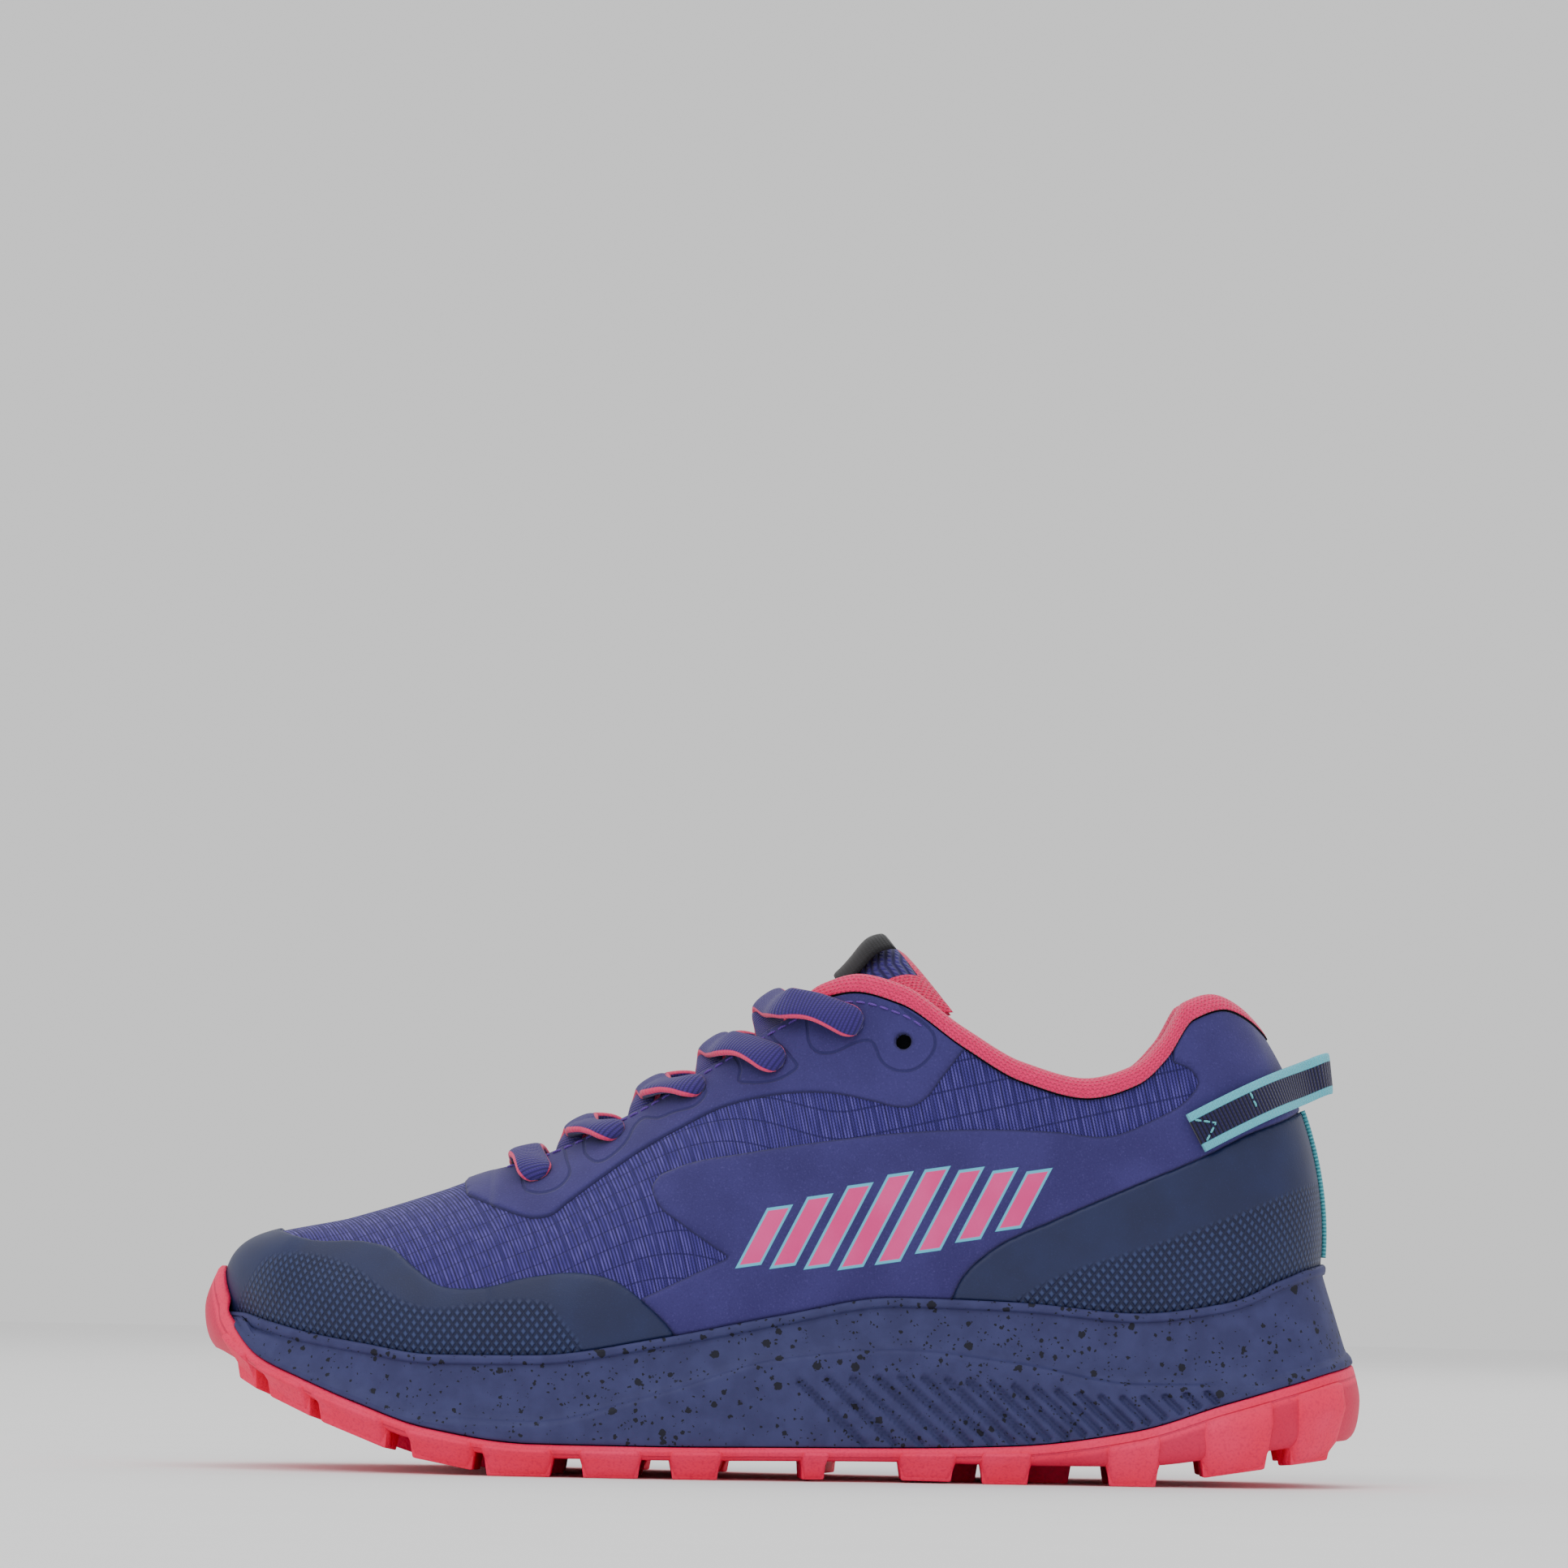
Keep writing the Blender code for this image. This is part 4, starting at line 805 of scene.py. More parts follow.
@dataclass(frozen=True)
class SuedeFilm:
    """Microsuede film, heat bonded: a dull napped face with paler fibres and a cut edge."""

    name: str
    bars: SlantedBars | None = None
    pressed: bool = False

    def material(self) -> bpy.types.Material:
        """Indigo film, with printed bars on the side panels and pressed lines round the eyelets."""
        g = Graph(self.name, 0.78, Sheen_Weight=0.12, Sheen_Roughness=0.5, Specular_IOR_Level=0.28)
        grain, cloud = g.noise(0.45, 4.0), g.noise(14.0).step(0.3, 0.7)
        colour = g.mix(cloud, "#342D68", "#3B3472")
        colour = g.mix(grain.step(0.55, 0.75) * 0.35, colour, "#5A5296")
        colour = g.mix(grain.step(0.45, 0.25) * 0.35, colour, "#231C4E")
        height = grain
        if self.bars:
            ink, outline = self.bars.masks(g)
            colour = g.mix(outline, colour, "#5CC0E0")
            colour = g.mix(ink, colour, g.mix(cloud, "#E8408A", "#EE4E96"))
            height = height + outline
        if self.pressed:
            line = 1.0 - abs(g.value("pressed")).step(0.15, 0.5)
            colour = g.mix(line * 0.6, colour, "#191850")
            height = height - line * 2.0
        cut = 1.0 - g.value("edge").step(0.1, 0.55)
        return g.finish(g.mix(cut * 0.55, colour, "#1E1C44"), height, 0.10)


@dataclass(frozen=True)
class HatchedFilm:
    """Polyurethane film over foam, hot pressed with a diamond hatch: navy, with a painted highlight on its
    raised lozenges and painted shade in its grooves.
    """

    cell: float = 1.73
    lean: float = math.radians(52)

    def material(self) -> bpy.types.Material:
        """Navy film with a hatch, small raised lozenges between thin grooves, that fades in from its edge.
        Its lozenge tops are painted paler as highlight and its grooves painted darker as shade.
        """
        g = Graph("navy_hatched_film", 0.50, Specular_IOR_Level=0.42)
        u, v = g.surface()
        slid, risen = u * math.sin(self.lean), v * math.cos(self.lean)
        rising, falling = slid + risen, slid - risen
        lines, rims = (
            rising.stripe(self.cell, low, high).above(falling.stripe(self.cell, low, high))
            for low, high in ((0.66, 0.92), (0.40, 0.62))
        )
        region = g.value("hatch").step(0.0, 2.4)
        lines, tops = lines * region, (1.0 - rims) * region
        grain = g.noise(0.35, 3.0)
        colour = g.mix(g.noise(12.0).step(0.3, 0.7), "#161F46", "#1A254F")
        colour = g.mix(grain.step(0.55, 0.8) * 0.25, colour, "#303F74")
        # Painted highlight: the raised lozenge tops are paler.
        colour = g.mix(tops * 0.50, colour, "#3E4E7E")
        # Painted shade: the hatch grooves are darker.
        colour = g.mix(lines * 0.55, colour, "#0D1538")
        return g.finish(colour, grain * 0.2 + tops * 0.5 - lines, 0.30)


@dataclass(frozen=True)
class PebbledRubber:
    """Carbon-free blown rubber, compression moulded from a pebbled tool: hot pink, dull.

    The mesh holds each point's depth below the joint in millimetres. A moulded line runs round at one
    depth, and below it the rubber is painted darker, as shade in the valleys between the lugs.
    """

    pebble: float = 0.55
    line_depth: float = 2.3

    def material(self) -> bpy.types.Material:
        """Pink rubber with a fine pebble, and painted shade in its hollows below the moulded line."""
        g = Graph("pink_pebbled_rubber", 0.62, Specular_IOR_Level=0.35)
        pebble = g.add("TexVoronoi", {"Vector": g.body(), "Scale": 1.0 / self.pebble}, feature="SMOOTH_F1")
        below = g.value("below")
        line = 1.0 - abs(below - self.line_depth).step(0.10, 0.32)
        colour = g.mix(g.noise(16.0).step(0.3, 0.7), "#FA1652", "#FC2860")
        colour = g.mix(pebble.step(0.35, 0.8) * 0.30, colour, "#B81C46")
        # Painted shade: the rubber is darker more than 3 mm below the joint, in the valleys between the lugs.
        colour = g.mix(below.step(3.0, 4.2) * 0.45, colour, "#B0103E")
        colour = g.mix(line * 0.35, colour, "#A8163E")
        return g.finish(colour, g.noise(0.9, 3.0) * 0.5 - pebble - line * 2.0, 0.12)


@dataclass(frozen=True)
class SpeckledFoam:
    """EVA foam moulded from mixed granules: slate indigo with black flecks of every size.

    Each kind of fleck has the size of its cells in millimetres and the share of them that show.
    """

    flecks: tuple[tuple[float, float], ...] = ((0.8, 0.26), (1.6, 0.28), (3.0, 0.20))

    def material(self) -> bpy.types.Material:
        """Foam whose flecks are cells of a Voronoi pattern, kept where the cell's own number is high."""
        g = Graph("speckled_indigo_foam", 0.66, Specular_IOR_Level=0.35)
        spot = g.body()
        wobble = g.add("TexNoise", {"Vector": spot, "Scale": 1.4}, 1)
        spot = g.add("VectorMath", {0: spot, 1: wobble}, operation="ADD")
        colour = g.mix(g.noise(5.0, 4.0).step(0.3, 0.7), "#30325E", "#383B69")
        mask = None
        for size, share in self.flecks:
            cells = g.add("TexVoronoi", {"Vector": spot, "Scale": 1.0 / size}, "Color")
            reach = g.add("SeparateColor", {0: cells}).step(1.0 - share, 1.0) * 0.42
            fleck = (reach - cells.output("Distance")).step(0.0, 0.05)
            mask = mask.above(fleck) if mask else fleck
        colour = g.mix(mask * 0.92, colour, "#070814")
        return g.finish(colour, g.noise(0.5, 3.0) * 0.4 - mask * 0.5, 0.08)


@dataclass(frozen=True)
class SpacerKnit:
    """Soft spacer knit that covers foam: rows of small staggered dimples."""

    name: str
    pale: str
    deep: str
    wale: float = 1.15
    course: float = 0.95

    def material(self) -> bpy.types.Material:
        """Padded knit with a dimple in each loop."""
        g = Graph(self.name, 0.88, Sheen_Weight=0.35, Specular_IOR_Level=0.25)
        u, v = g.surface()
        shifted = u + (v / self.course).floor() * (self.wale * 0.5)
        dimple = shifted.stripe(self.wale, 0.30, 0.95) * v.stripe(self.course, 0.15, 0.9)
        fuzz = g.noise(0.5, 3.0)
        colour = g.mix(dimple * 0.8, g.mix(fuzz.step(0.3, 0.75), self.pale, self.deep), self.deep)
        return g.finish(colour, 1.0 - dimple + fuzz * 0.3, 0.30)


@dataclass(frozen=True)
class RibWeave:
    """Woven or knitted band: cords across it, with edges that may be another colour."""

    name: str
    pale: str
    deep: str
    cord: float
    selvedge: str | None = None
    selvedge_at: float = 3.4
    depth: float = 0.22

    def material(self) -> bpy.types.Material:
        """Band whose cords are one period apart, over a fine twill."""
        g = Graph(self.name, 0.82, Sheen_Weight=0.20, Specular_IOR_Level=0.30)
        u, v = g.surface()
        cord = u.stripe(self.cord, 0.15, 0.95)
        twill = (v + u * 0.6).stripe(self.cord * 0.9, 0.2, 0.9)
        colour = g.mix(cord.above(twill * 0.45), self.pale, self.deep)
        colour = g.mix(g.noise(0.6, 3.0).step(0.5, 0.8) * 0.25, colour, self.pale)
        if self.selvedge:
            edge = abs(v).step(self.selvedge_at - 0.12, self.selvedge_at + 0.12)
            colour = g.mix(edge, colour, self.selvedge)
        return g.finish(colour, 1.0 - cord.above(twill * 0.5), self.depth)


@dataclass(frozen=True)
class FoamBacking:
    """Charcoal polyurethane foam, glued to the back of the lining."""

    def material(self) -> bpy.types.Material:
        """Dark open foam."""
        g = Graph("charcoal_foam_backing", 0.95, Specular_IOR_Level=0.15)
        pores = g.noise(0.6, 3.0)
        return g.finish(g.mix(pores, "#08080C", "#16161E"), pores)


@dataclass(frozen=True)
class Thread:
    """Bonded nylon thread, twisted."""

    name: str
    colour: str

    def material(self) -> bpy.types.Material:
        """Thread with a faint twist."""
        g = Graph(self.name, 0.60, Specular_IOR_Level=0.40)
        u, v = g.surface()
        twist = (u + v).stripe(0.5, 0.2, 0.9)
        return g.finish(g.mix(twist * 0.4, self.colour, "#101020"), twist, 0.05)


@dataclass(frozen=True)
class StudioFloor:
    """Matt painted board."""

    def material(self) -> bpy.types.Material:
        """Pale floor with the slightest mottle."""
        g = Graph("pale_floor", 0.9)
        return g.finish(g.mix(g.noise(40.0), "#F2F2F2", "#F6F6F6"))


@dataclass
class Studio:
    """Plain pale floor, soft light and the photograph's low side view."""

    distance: float = 2.200
    eye_height: float = 0.0585
    frame_width: float = 0.3796
    below_middle: float = 554.0
    pixels: float = 1932.0
    roll: float = math.radians(1.07)
    aside: float = -0.0019
    floor_reach: float = 3.0
    ambient: float = 0.90
    lamps: tuple[tuple[str, tuple[float, float, float], float, float], ...] = (
        ("key", (-0.7, -1.4, 1.7), 1.2, 12.0),
        ("top", (0.1, 0.1, 1.9), 1.4, 9.0),
        ("back", (0.5, 1.6, 1.2), 1.2, 5.0),
    )

    def build(self) -> None:
        """Adds the floor, the lamps and the camera."""
        self.floor()
        for lamp in self.lamps:
            self.lamp(*lamp)
        world = bpy.data.worlds.new("studio")
        world.use_nodes = True
        inputs = world.node_tree.nodes["Background"].inputs
        inputs["Color"].default_value = linear("#FFFFFF")
        inputs["Strength"].default_value = self.ambient
        bpy.context.scene.world = world
        self.camera()

    def floor(self) -> None:
        """Floor plane under the lugs."""
        points = self.floor_reach * np.array([(-1, -1, 0), (1, -1, 0), (1, 1, 0), (-1, 1, 0)], float)
        Net(points, [np.array([[0, 1, 2, 3]])]).make("floor", StudioFloor().material())

    def lamp(self, name: str, place: tuple[float, float, float], size: float, power: float) -> None:
        """Adds a square area lamp that faces the shoe.

        Args:
            name: The lamp's name.
            place: Where it hangs.
            size: Its side.
            power: Its watts.
        """
        data = bpy.data.lights.new(name, "AREA")
        data.shape = "SQUARE"
        data.size = size
        data.energy = power
        made = bpy.data.objects.new(name, data)
        made.location = place
        made.rotation_euler = (Vector((0, 0, 0.05)) - Vector(place)).to_track_quat("-Z", "Y").to_euler()
        bpy.context.scene.collection.objects.link(made)

    def camera(self) -> None:
        """Camera square to the shoe's side, pitched and rolled so the shoe sits as in the photograph."""
        data = bpy.data.cameras.new("camera")
        data.sensor_width = 36.0
        data.lens = 36.0 * self.distance / self.frame_width
        data.clip_end = 20.0
        made = bpy.data.objects.new("camera", data)
        pitch = math.atan(self.below_middle / self.pixels * self.frame_width / self.distance)
        made.location = (self.aside, -self.distance, self.eye_height)
        turned = Vector((0.0, math.cos(pitch), math.sin(pitch))).to_track_quat("-Z", "Y")
        made.rotation_euler = turned.to_euler()
        made.rotation_euler.rotate_axis("Z", self.roll)
        bpy.context.scene.collection.objects.link(made)
        bpy.context.scene.camera = made


@dataclass
class Sole:
    """Rubber outsole with its lugs, foam midsole and loose insole."""

    last: Last
    columns: int = 720
    foam_columns: int = 1280
    lug_depth: float = 0.0042
    lug_taper: float = 0.0011
    lug_sink: float = 0.0012
    flat_reach: float = 0.0004
    lug_edge: float = 0.0032
    lug_round: float = 0.0005
    lug_reach: tuple[float, float] = (0.0160, 0.0200)
    end_reach: float = 0.0130
    middle_sides: tuple[float, float] = (0.0022, 0.0125)
    middle_sweep: float = 0.0030
    medial_shift: float = 0.010
    bumper_top: float = 0.0012
    bumper_end: float = 0.020
    cap_film: float = 0.0010
    lean_rise: float = 0.0040
    flank_drop: float = 0.0028
    flank_proud: float = 0.0012
    flank_columns: int = 16
    flank_slope: float = 0.06
    flank_gap: float = 0.0003
    side_in: float = 0.0003
    foot_in: float = 0.0022
    foot_up: float = 0.0008
    spine_stations: tuple[float, float] = (0.16, 0.86)
    rib_count: int = 19
    rib_angle: float = math.radians(43)
    rib_width: float = 0.0015
    rib_depth: float = 0.0011
    rib_stations: tuple[float, float] = (0.516, 0.862)
    rib_window: tuple[float, float] = (0.48, 0.96)
    rib_crowding: float = 0.93
    rib_ceiling: float = 0.74
    rim_band: float = 0.0028
    flare_stations: tuple[float, float] = (0.84, 0.95)
    insole_thick: float = 0.0040
    gap: float = 0.0003
    edge_lugs: tuple[tuple[float, float], ...] = (
        (0.022, 0.042), (0.052, 0.094), (0.100, 0.164), (0.182, 0.240), (0.247, 0.308), (0.331, 0.384),
        (0.408, 0.452), (0.520, 0.542), (0.602, 0.650), (0.671, 0.714), (0.777, 0.823), (0.859, 0.920),
        (0.940, 0.982),
    )
    middle_lugs: tuple[tuple[float, float], ...] = (
        (0.085, 0.118), (0.142, 0.182), (0.205, 0.245), (0.268, 0.308), (0.335, 0.375),
        (0.625, 0.660), (0.700, 0.740), (0.775, 0.815), (0.855, 0.890),
    )

    def level(self, theta: Array, inset: Array | float, height: Array | Callable[[Array], Array]) -> Array:
        """Ring of points round the shoe, at a height or at one worked out from each point's X."""
        points = self.last.edge(theta, np.broadcast_to(inset, theta.shape))
        tall = height(points[:, 0]) if callable(height) else np.broadcast_to(height, theta.shape)
        return np.column_stack([points, tall])

    def spine(self, theta: Array, height: Callable[[Array], Array]) -> Array:
        """Ring that closes a form along its middle line."""
        station = np.clip(self.last.station_of(theta), *self.spine_stations)
        x = self.last.place(station)
        return np.column_stack([x, self.last.centre(station), height(x)])

    def rings(self, corners: list[Array], steps: list[int]) -> Array:
        """Fills a profile between corner rings.

        Args:
            corners: Rings of points, from the first to the last.
            steps: Number of rings between each pair; one keeps the line straight.

        Returns:
            All rings, each on a cubic through its corner rings where it has more than one step.
        """
        made = [corners[0]]
        tangents = [0.5 * (b - a) for a, b in zip([corners[0]] + corners[:-1], corners[1:] + [corners[-1]])]
        for k, count in enumerate(steps):
            for j in range(1, count + 1):
                t = j / count
                a, b = corners[k], corners[k + 1]
                ta, tb = tangents[k], tangents[k + 1]
                made.append(cubic(t, a, b, ta, tb) if count > 1 else b)
        return np.array(made)

    def closed(self, rings: Array) -> Net:
        """Closed form through rings, whose first and last are spines."""
        count, around = rings.shape[:2]
        uv = np.stack([walk(rings, 1), walk(rings)], -1).reshape(-1, 2) / MM
        return Net(rings.reshape(-1, 3), [grid_quads(count, around, True)], uv)

    def bed(self, x: Array) -> Array:
        """Height of the rubber's upper side."""
        return self.last.web(x) + self.last.rubber

    def underside(self, x: Array) -> Array:
        """Height of the foam's underside, just off the rubber."""
        return self.bed(x) + self.gap

    def over_footbed(self, tall: float) -> Callable[[Array], Array]:
        """Height above the footbed, as a function of X."""
        return lambda x: self.last.footbed(x) + tall

    def outsole(self) -> bpy.types.Object:
        """Rubber sheet through smoothed rings, with chamfered lugs under it."""
        last = self.last
        theta = last.angles(self.columns)
        station = last.station_of(theta)
        joint, foam = last.sole("joint", station), last.sole("rim", station)
        cup, rim = last.inset("cup", station), last.inset("joint", station)
        lower = self.level(theta, self.foot_in, lambda x: last.web(x) + self.foot_up)
        inner = self.level(theta, cup, self.bed)
        touch = self.cap_touch(theta, joint)
        toe = ease(foam, foam + self.lean_rise, joint)[:, None]

        def edge(inset: Array, height: Array, out: float, drop: float) -> Array:
            """Ring of the top edge, which leans on the toe cap in front, out and down from their contact."""
            leaning = touch + last.facing(theta) * out - [0, 0, drop]
            return self.level(theta, inset, height) * (1 - toe) + leaning * toe

        corners = [
            self.spine(theta, last.web),
            self.level(theta, 0.009, last.web),
            lower,
            self.level(theta, self.side_in, 0.5 * (lower[:, 2] + joint)),
            edge(rim, joint - 0.0004, 0.0020, 0.0008),
            edge(rim + 0.0004, joint, 0.0012, 0.0),
            edge(np.maximum(cup, rim + self.bumper_top), joint, 0.0, 0.0),
            self.level(theta, cup, 0.5 * (inner[:, 2] + joint)),
            self.level(theta, cup + 0.0004, self.bed),
            self.spine(theta, self.bed),
        ]
        rings = self.rings(corners, [1, 3, 6, 6, 1, 1, 1, 1, 1])
        net = self.closed(rings)
        numbers = range(len(self.edge_lugs))
        lugs = [plan for k in numbers for plan in self.edge_pair(k)]
        lugs += [plan for ends in self.middle_lugs for plan in self.middle_pair(ends)]
        flanks = [self.flank(k, side) for k in numbers for side in Side]
        whole = merged([net] + flanks)
        below = ((joint[None] - rings[..., 2]) / MM).ravel()
        whole.values["below"] = np.append(below, np.zeros(len(whole.points) - len(below)))
        made = whole.make("outsole_rubber", PebbledRubber().material())
        self.add_lugs(made, lugs)
        return made

    def between(self, number: int) -> bool:
        """Whether an edge lug has another on either side."""
        return 0 < number < len(self.edge_lugs) - 1

    def lug_ends(self, number: int, side: Side) -> Array:
        """Angles of an edge lug's ends, before its side's turn. The medial row is set back."""
        shift = self.medial_shift if side is Side.MEDIAL and self.between(number) else 0.0
        return self.last.angle_of(np.array(self.edge_lugs[number]) + shift)

    def flank(self, number: int, side: Side) -> Net:
        """Outer face of an edge lug, which runs up the side of the rubber and stands proud of it.

        The face is a grid of levels along the outline, from under the moulded line down to the tread. Its two
        ends slope back into the rubber, and an inner grid closes it.

        Args:
            number: The lug's number from the toe.
            side: Its side.

        Returns:
            The closed form.
        """
        last, count = self.last, self.flank_columns
        start, end = self.lug_ends(number, side)
        slope = self.flank_slope * (end - start)
        inner_angles = np.linspace(start + slope, end - slope, count - 2)
        theta = side.value * np.concatenate([[start], inner_angles, [end]])
        station = last.station_of(theta)
        joint, wall_in = last.sole("joint", station), last.inset("joint", station)
        web = last.web(last.plan(theta)[:, 0])
        tread = web - self.lug_depth
        flat = np.any(tread <= self.flat_reach)
        tread = self.flank_gap + (np.zeros(count) if flat else np.maximum(tread, 0.0))
        top = joint - np.minimum(self.flank_drop, 0.40 * (joint - web))
        middle = 0.5 * (web + joint)
        wall = self.side_in + (wall_in - self.side_in) * (top - middle) / (joint - middle)
        levels = (
            (wall + 0.0005, top + 0.0007), (wall - self.flank_proud, top),
            (self.side_in - self.flank_proud, np.minimum(middle, top - 0.0006)), (0.0016, web),
            (0.0030, 0.5 * (web + tread)), (0.0038, tread + 0.0005), (0.0044, tread),
        )
        ends_in = np.zeros(count)
        ends_in[[0, -1]] = self.flank_proud + 0.0006
        outward = last.outward(theta)
        tangent = np.stack([-outward[:, 1], outward[:, 0]], -1)
        narrow = side.value * self.lug_taper * np.linspace(-1.0, 1.0, count)
        outer, inner = [], []
        for inset, height in levels:
            ring = self.level(theta, inset + ends_in, height)
            down = np.clip((web - height) / self.lug_depth, 0.0, 1.0)
            ring[:, :2] -= tangent * (narrow * down)[:, None]
            back = ring.copy()
            back[:, :2] -= outward * (0.0045 - ends_in)[:, None]
            outer.append(ring)
            inner.append(back)
        turn = -1 if side is Side.LATERAL else 1
        outer, inner = np.array(outer)[:, ::turn], np.array(inner)[:, ::turn]
        return slab(outer, inner, outer[..., [0, 2]].reshape(-1, 2) / MM)

    def cap_touch(self, theta: Array, height: Array) -> Array:
        """Points just off the toe cap at given heights."""
        rises = np.linspace(0.0, 1.0, 80)
        grid = self.last.skin(*np.meshgrid(theta, rises))[..., 2]
        rise = np.array([np.interp(h, grid[:, k], rises) for k, h in enumerate(height)])
        return self.last.skin_off(theta, rise, self.cap_film)

    def edge_pair(self, number: int) -> list[Array]:
        """Plan corners of a lateral edge lug and its medial partner."""
        made = []
        reach = self.lug_reach[number % 2] if self.between(number) else self.end_reach
        for side in Side:
            theta = side.value * self.lug_ends(number, side)
            outer, inner = self.last.edge(theta, self.lug_edge), self.last.edge(theta, reach)
            made.append(np.array([outer[0], outer[1], inner[1] - [0.0015, 0.0], inner[0] + [0.0015, 0.0]]))
        return made

    def middle_pair(self, ends: tuple[float, float]) -> list[Array]:
        """Plan corners of two lugs that point forwards, either side of the middle line."""
        x0, x1 = self.last.place(np.array(ends))
        middle = float(self.last.centre(sum(ends) / 2))
        (near, far), swept = self.middle_sides, self.middle_sweep
        made = []
        for turn in (-1, 1):
            n, f = middle + turn * near, middle + turn * far
            made.append(np.array([[x0, n], [x1, n], [x1 + swept, f], [x0 + swept, f]]))
        return made

    def add_lugs(self, made: bpy.types.Object, plans: list[Array]) -> None:
        """Joins lugs to the rubber: each a block that narrows to its tread face, with rounded edges."""
        work = bmesh.new()
        work.from_mesh(made.data)
        for corners in plans:
            middle = corners.mean(0)
            base = np.column_stack([corners, self.last.web(corners[:, 0]) + self.lug_sink])
            away = corners - middle
            tip = corners - unit(away) * self.lug_taper
            height = self.last.web(tip[:, 0]) - self.lug_depth
            if np.any(height < self.flat_reach):
                height = np.zeros(4)
            points = [Vector(p) for p in np.vstack([base, np.column_stack([tip, height])])]
            block = bmesh.new()
            verts = [block.verts.new(p) for p in points]
            block.faces.new(verts[:4])
            block.faces.new(verts[4:][::-1])
            for k in range(4):
                j = (k + 1) % 4
                block.faces.new([verts[j], verts[k], verts[k + 4], verts[j + 4]])
            bmesh.ops.recalc_face_normals(block, faces=block.faces)
            edges = [e for e in block.edges if any(v in verts[4:] for v in e.verts)]
            bmesh.ops.bevel(block, geom=edges, offset=self.lug_round, segments=2, affect="EDGES", profile=0.6)
            held = bpy.data.meshes.new("lug")
            block.to_mesh(held)
            block.free()
            work.from_mesh(held)
            bpy.data.meshes.remove(held)
        work.to_mesh(made.data)
        work.free()

    def midsole(self) -> bpy.types.Object:
        """Foam cup: a swelling side up to a wave, a hollow over it, a banded rim, and slanted grooves."""
        last = self.last
        theta = last.angles(self.foam_columns)
        station = last.station_of(theta)
        rim, joint = last.sole("rim", station), last.sole("joint", station)
        rim_in, cup, ridge_in = (last.inset(name, station) for name in ("rim", "cup", "ridge"))
        ledge = np.minimum(joint + self.gap, rim - 0.0016)
        tucked = ease(self.bumper_end + 0.006, self.bumper_end, station)
        ledge_in = last.inset("joint", station) * (1 - tucked) + (cup + 0.0004) * tucked
        ridge = np.maximum(last.sole("ridge", station), ledge + 0.0004)
        groove = np.maximum(ridge + 0.0003, np.minimum(ridge + 0.0024, rim - self.rim_band - 0.0008))
        band = np.maximum(groove + 0.0002, rim - self.rim_band)
        flare = ease(*self.flare_stations, station)
        groove = groove + flare * (ridge + 0.5 * (band - ridge) - groove)
        deep = ridge_in + (0.75 - 0.13 * flare) * (rim_in - ridge_in)
        corners = [
            self.spine(theta, self.underside),
            self.level(theta, cup + 0.0008, self.underside),
            self.level(theta, cup + 0.0004, ledge),
            self.level(theta, ledge_in + 0.0004, ledge),
            self.level(theta, ledge_in + (ridge_in - ledge_in) * 0.35, ledge + (ridge - ledge) * 0.45),
            self.level(theta, ridge_in, ridge - 0.0006),
            self.level(theta, ridge_in + 0.0007, ridge + 0.0004),
            self.level(theta, deep, groove),
            self.level(theta, rim_in + 0.0007, band),
            self.level(theta, rim_in + 0.0002, np.maximum(band + 0.0002, rim - self.rim_band + 0.0005)),
            self.level(theta, rim_in, rim - 0.0008),
            self.level(theta, rim_in + 0.0006, rim),
            self.level(theta, rim_in + last.rim_lip, rim),
            self.level(theta, last.feather(station) + last.feather_step - 0.0004, last.footbed),
            self.spine(theta, last.footbed),
        ]
        rings = self.rings(corners, [1, 1, 1, 14, 16, 2, 4, 6, 2, 2, 2, 1, 1, 1])
        rings = rings - self.grooves(rings)[..., None] * last.facing(theta)
        return self.closed(rings).make("midsole_foam", SpeckledFoam().material())

    def grooves(self, points: Array) -> Array:
        """Depth of the slanted grooves at each point of the foam's side: a round channel about each line."""
        last = self.last
        flat = points.reshape(-1, 3)
        depth = np.zeros(len(flat))
        station = last.station_at(flat[:, 0])
        front, back = self.rib_window
        side = (station > front) & (station < back) & (flat[:, 2] < last.sole("ridge", station) + 0.001)
        side &= flat[:, 2] > last.sole("joint", station) - 0.001
        spots = flat[side][:, [0, 2]]
        best = np.zeros(len(spots))
        first, final = self.rib_stations
        for share in np.linspace(0.0, 1.0, self.rib_count) ** self.rib_crowding:
            top = first + (final - first) * share
            low, high = float(last.sole("joint", top)), float(last.sole("ridge", top))
            ceiling = low + self.rib_ceiling * (high - low)
            drop = ceiling - low - 0.0008
            foot = top + drop / math.tan(self.rib_angle) / last.length
            drop = ceiling - float(last.sole("joint", foot)) - 0.0010
            foot = top + drop / math.tan(self.rib_angle) / last.length
            a, b = np.array([last.place(top), ceiling]), np.array([last.place(foot), ceiling - drop])
            along = np.clip((spots - a) @ (b - a) / ((b - a) @ (b - a)), 0.0, 1.0)
            away = np.linalg.norm(spots - a - along[:, None] * (b - a), axis=1)
            best = np.maximum(best, self.rib_depth * ease(0.62 * self.rib_width, 0.30 * self.rib_width, away))
        depth[side] = best
        return depth.reshape(points.shape[:2])

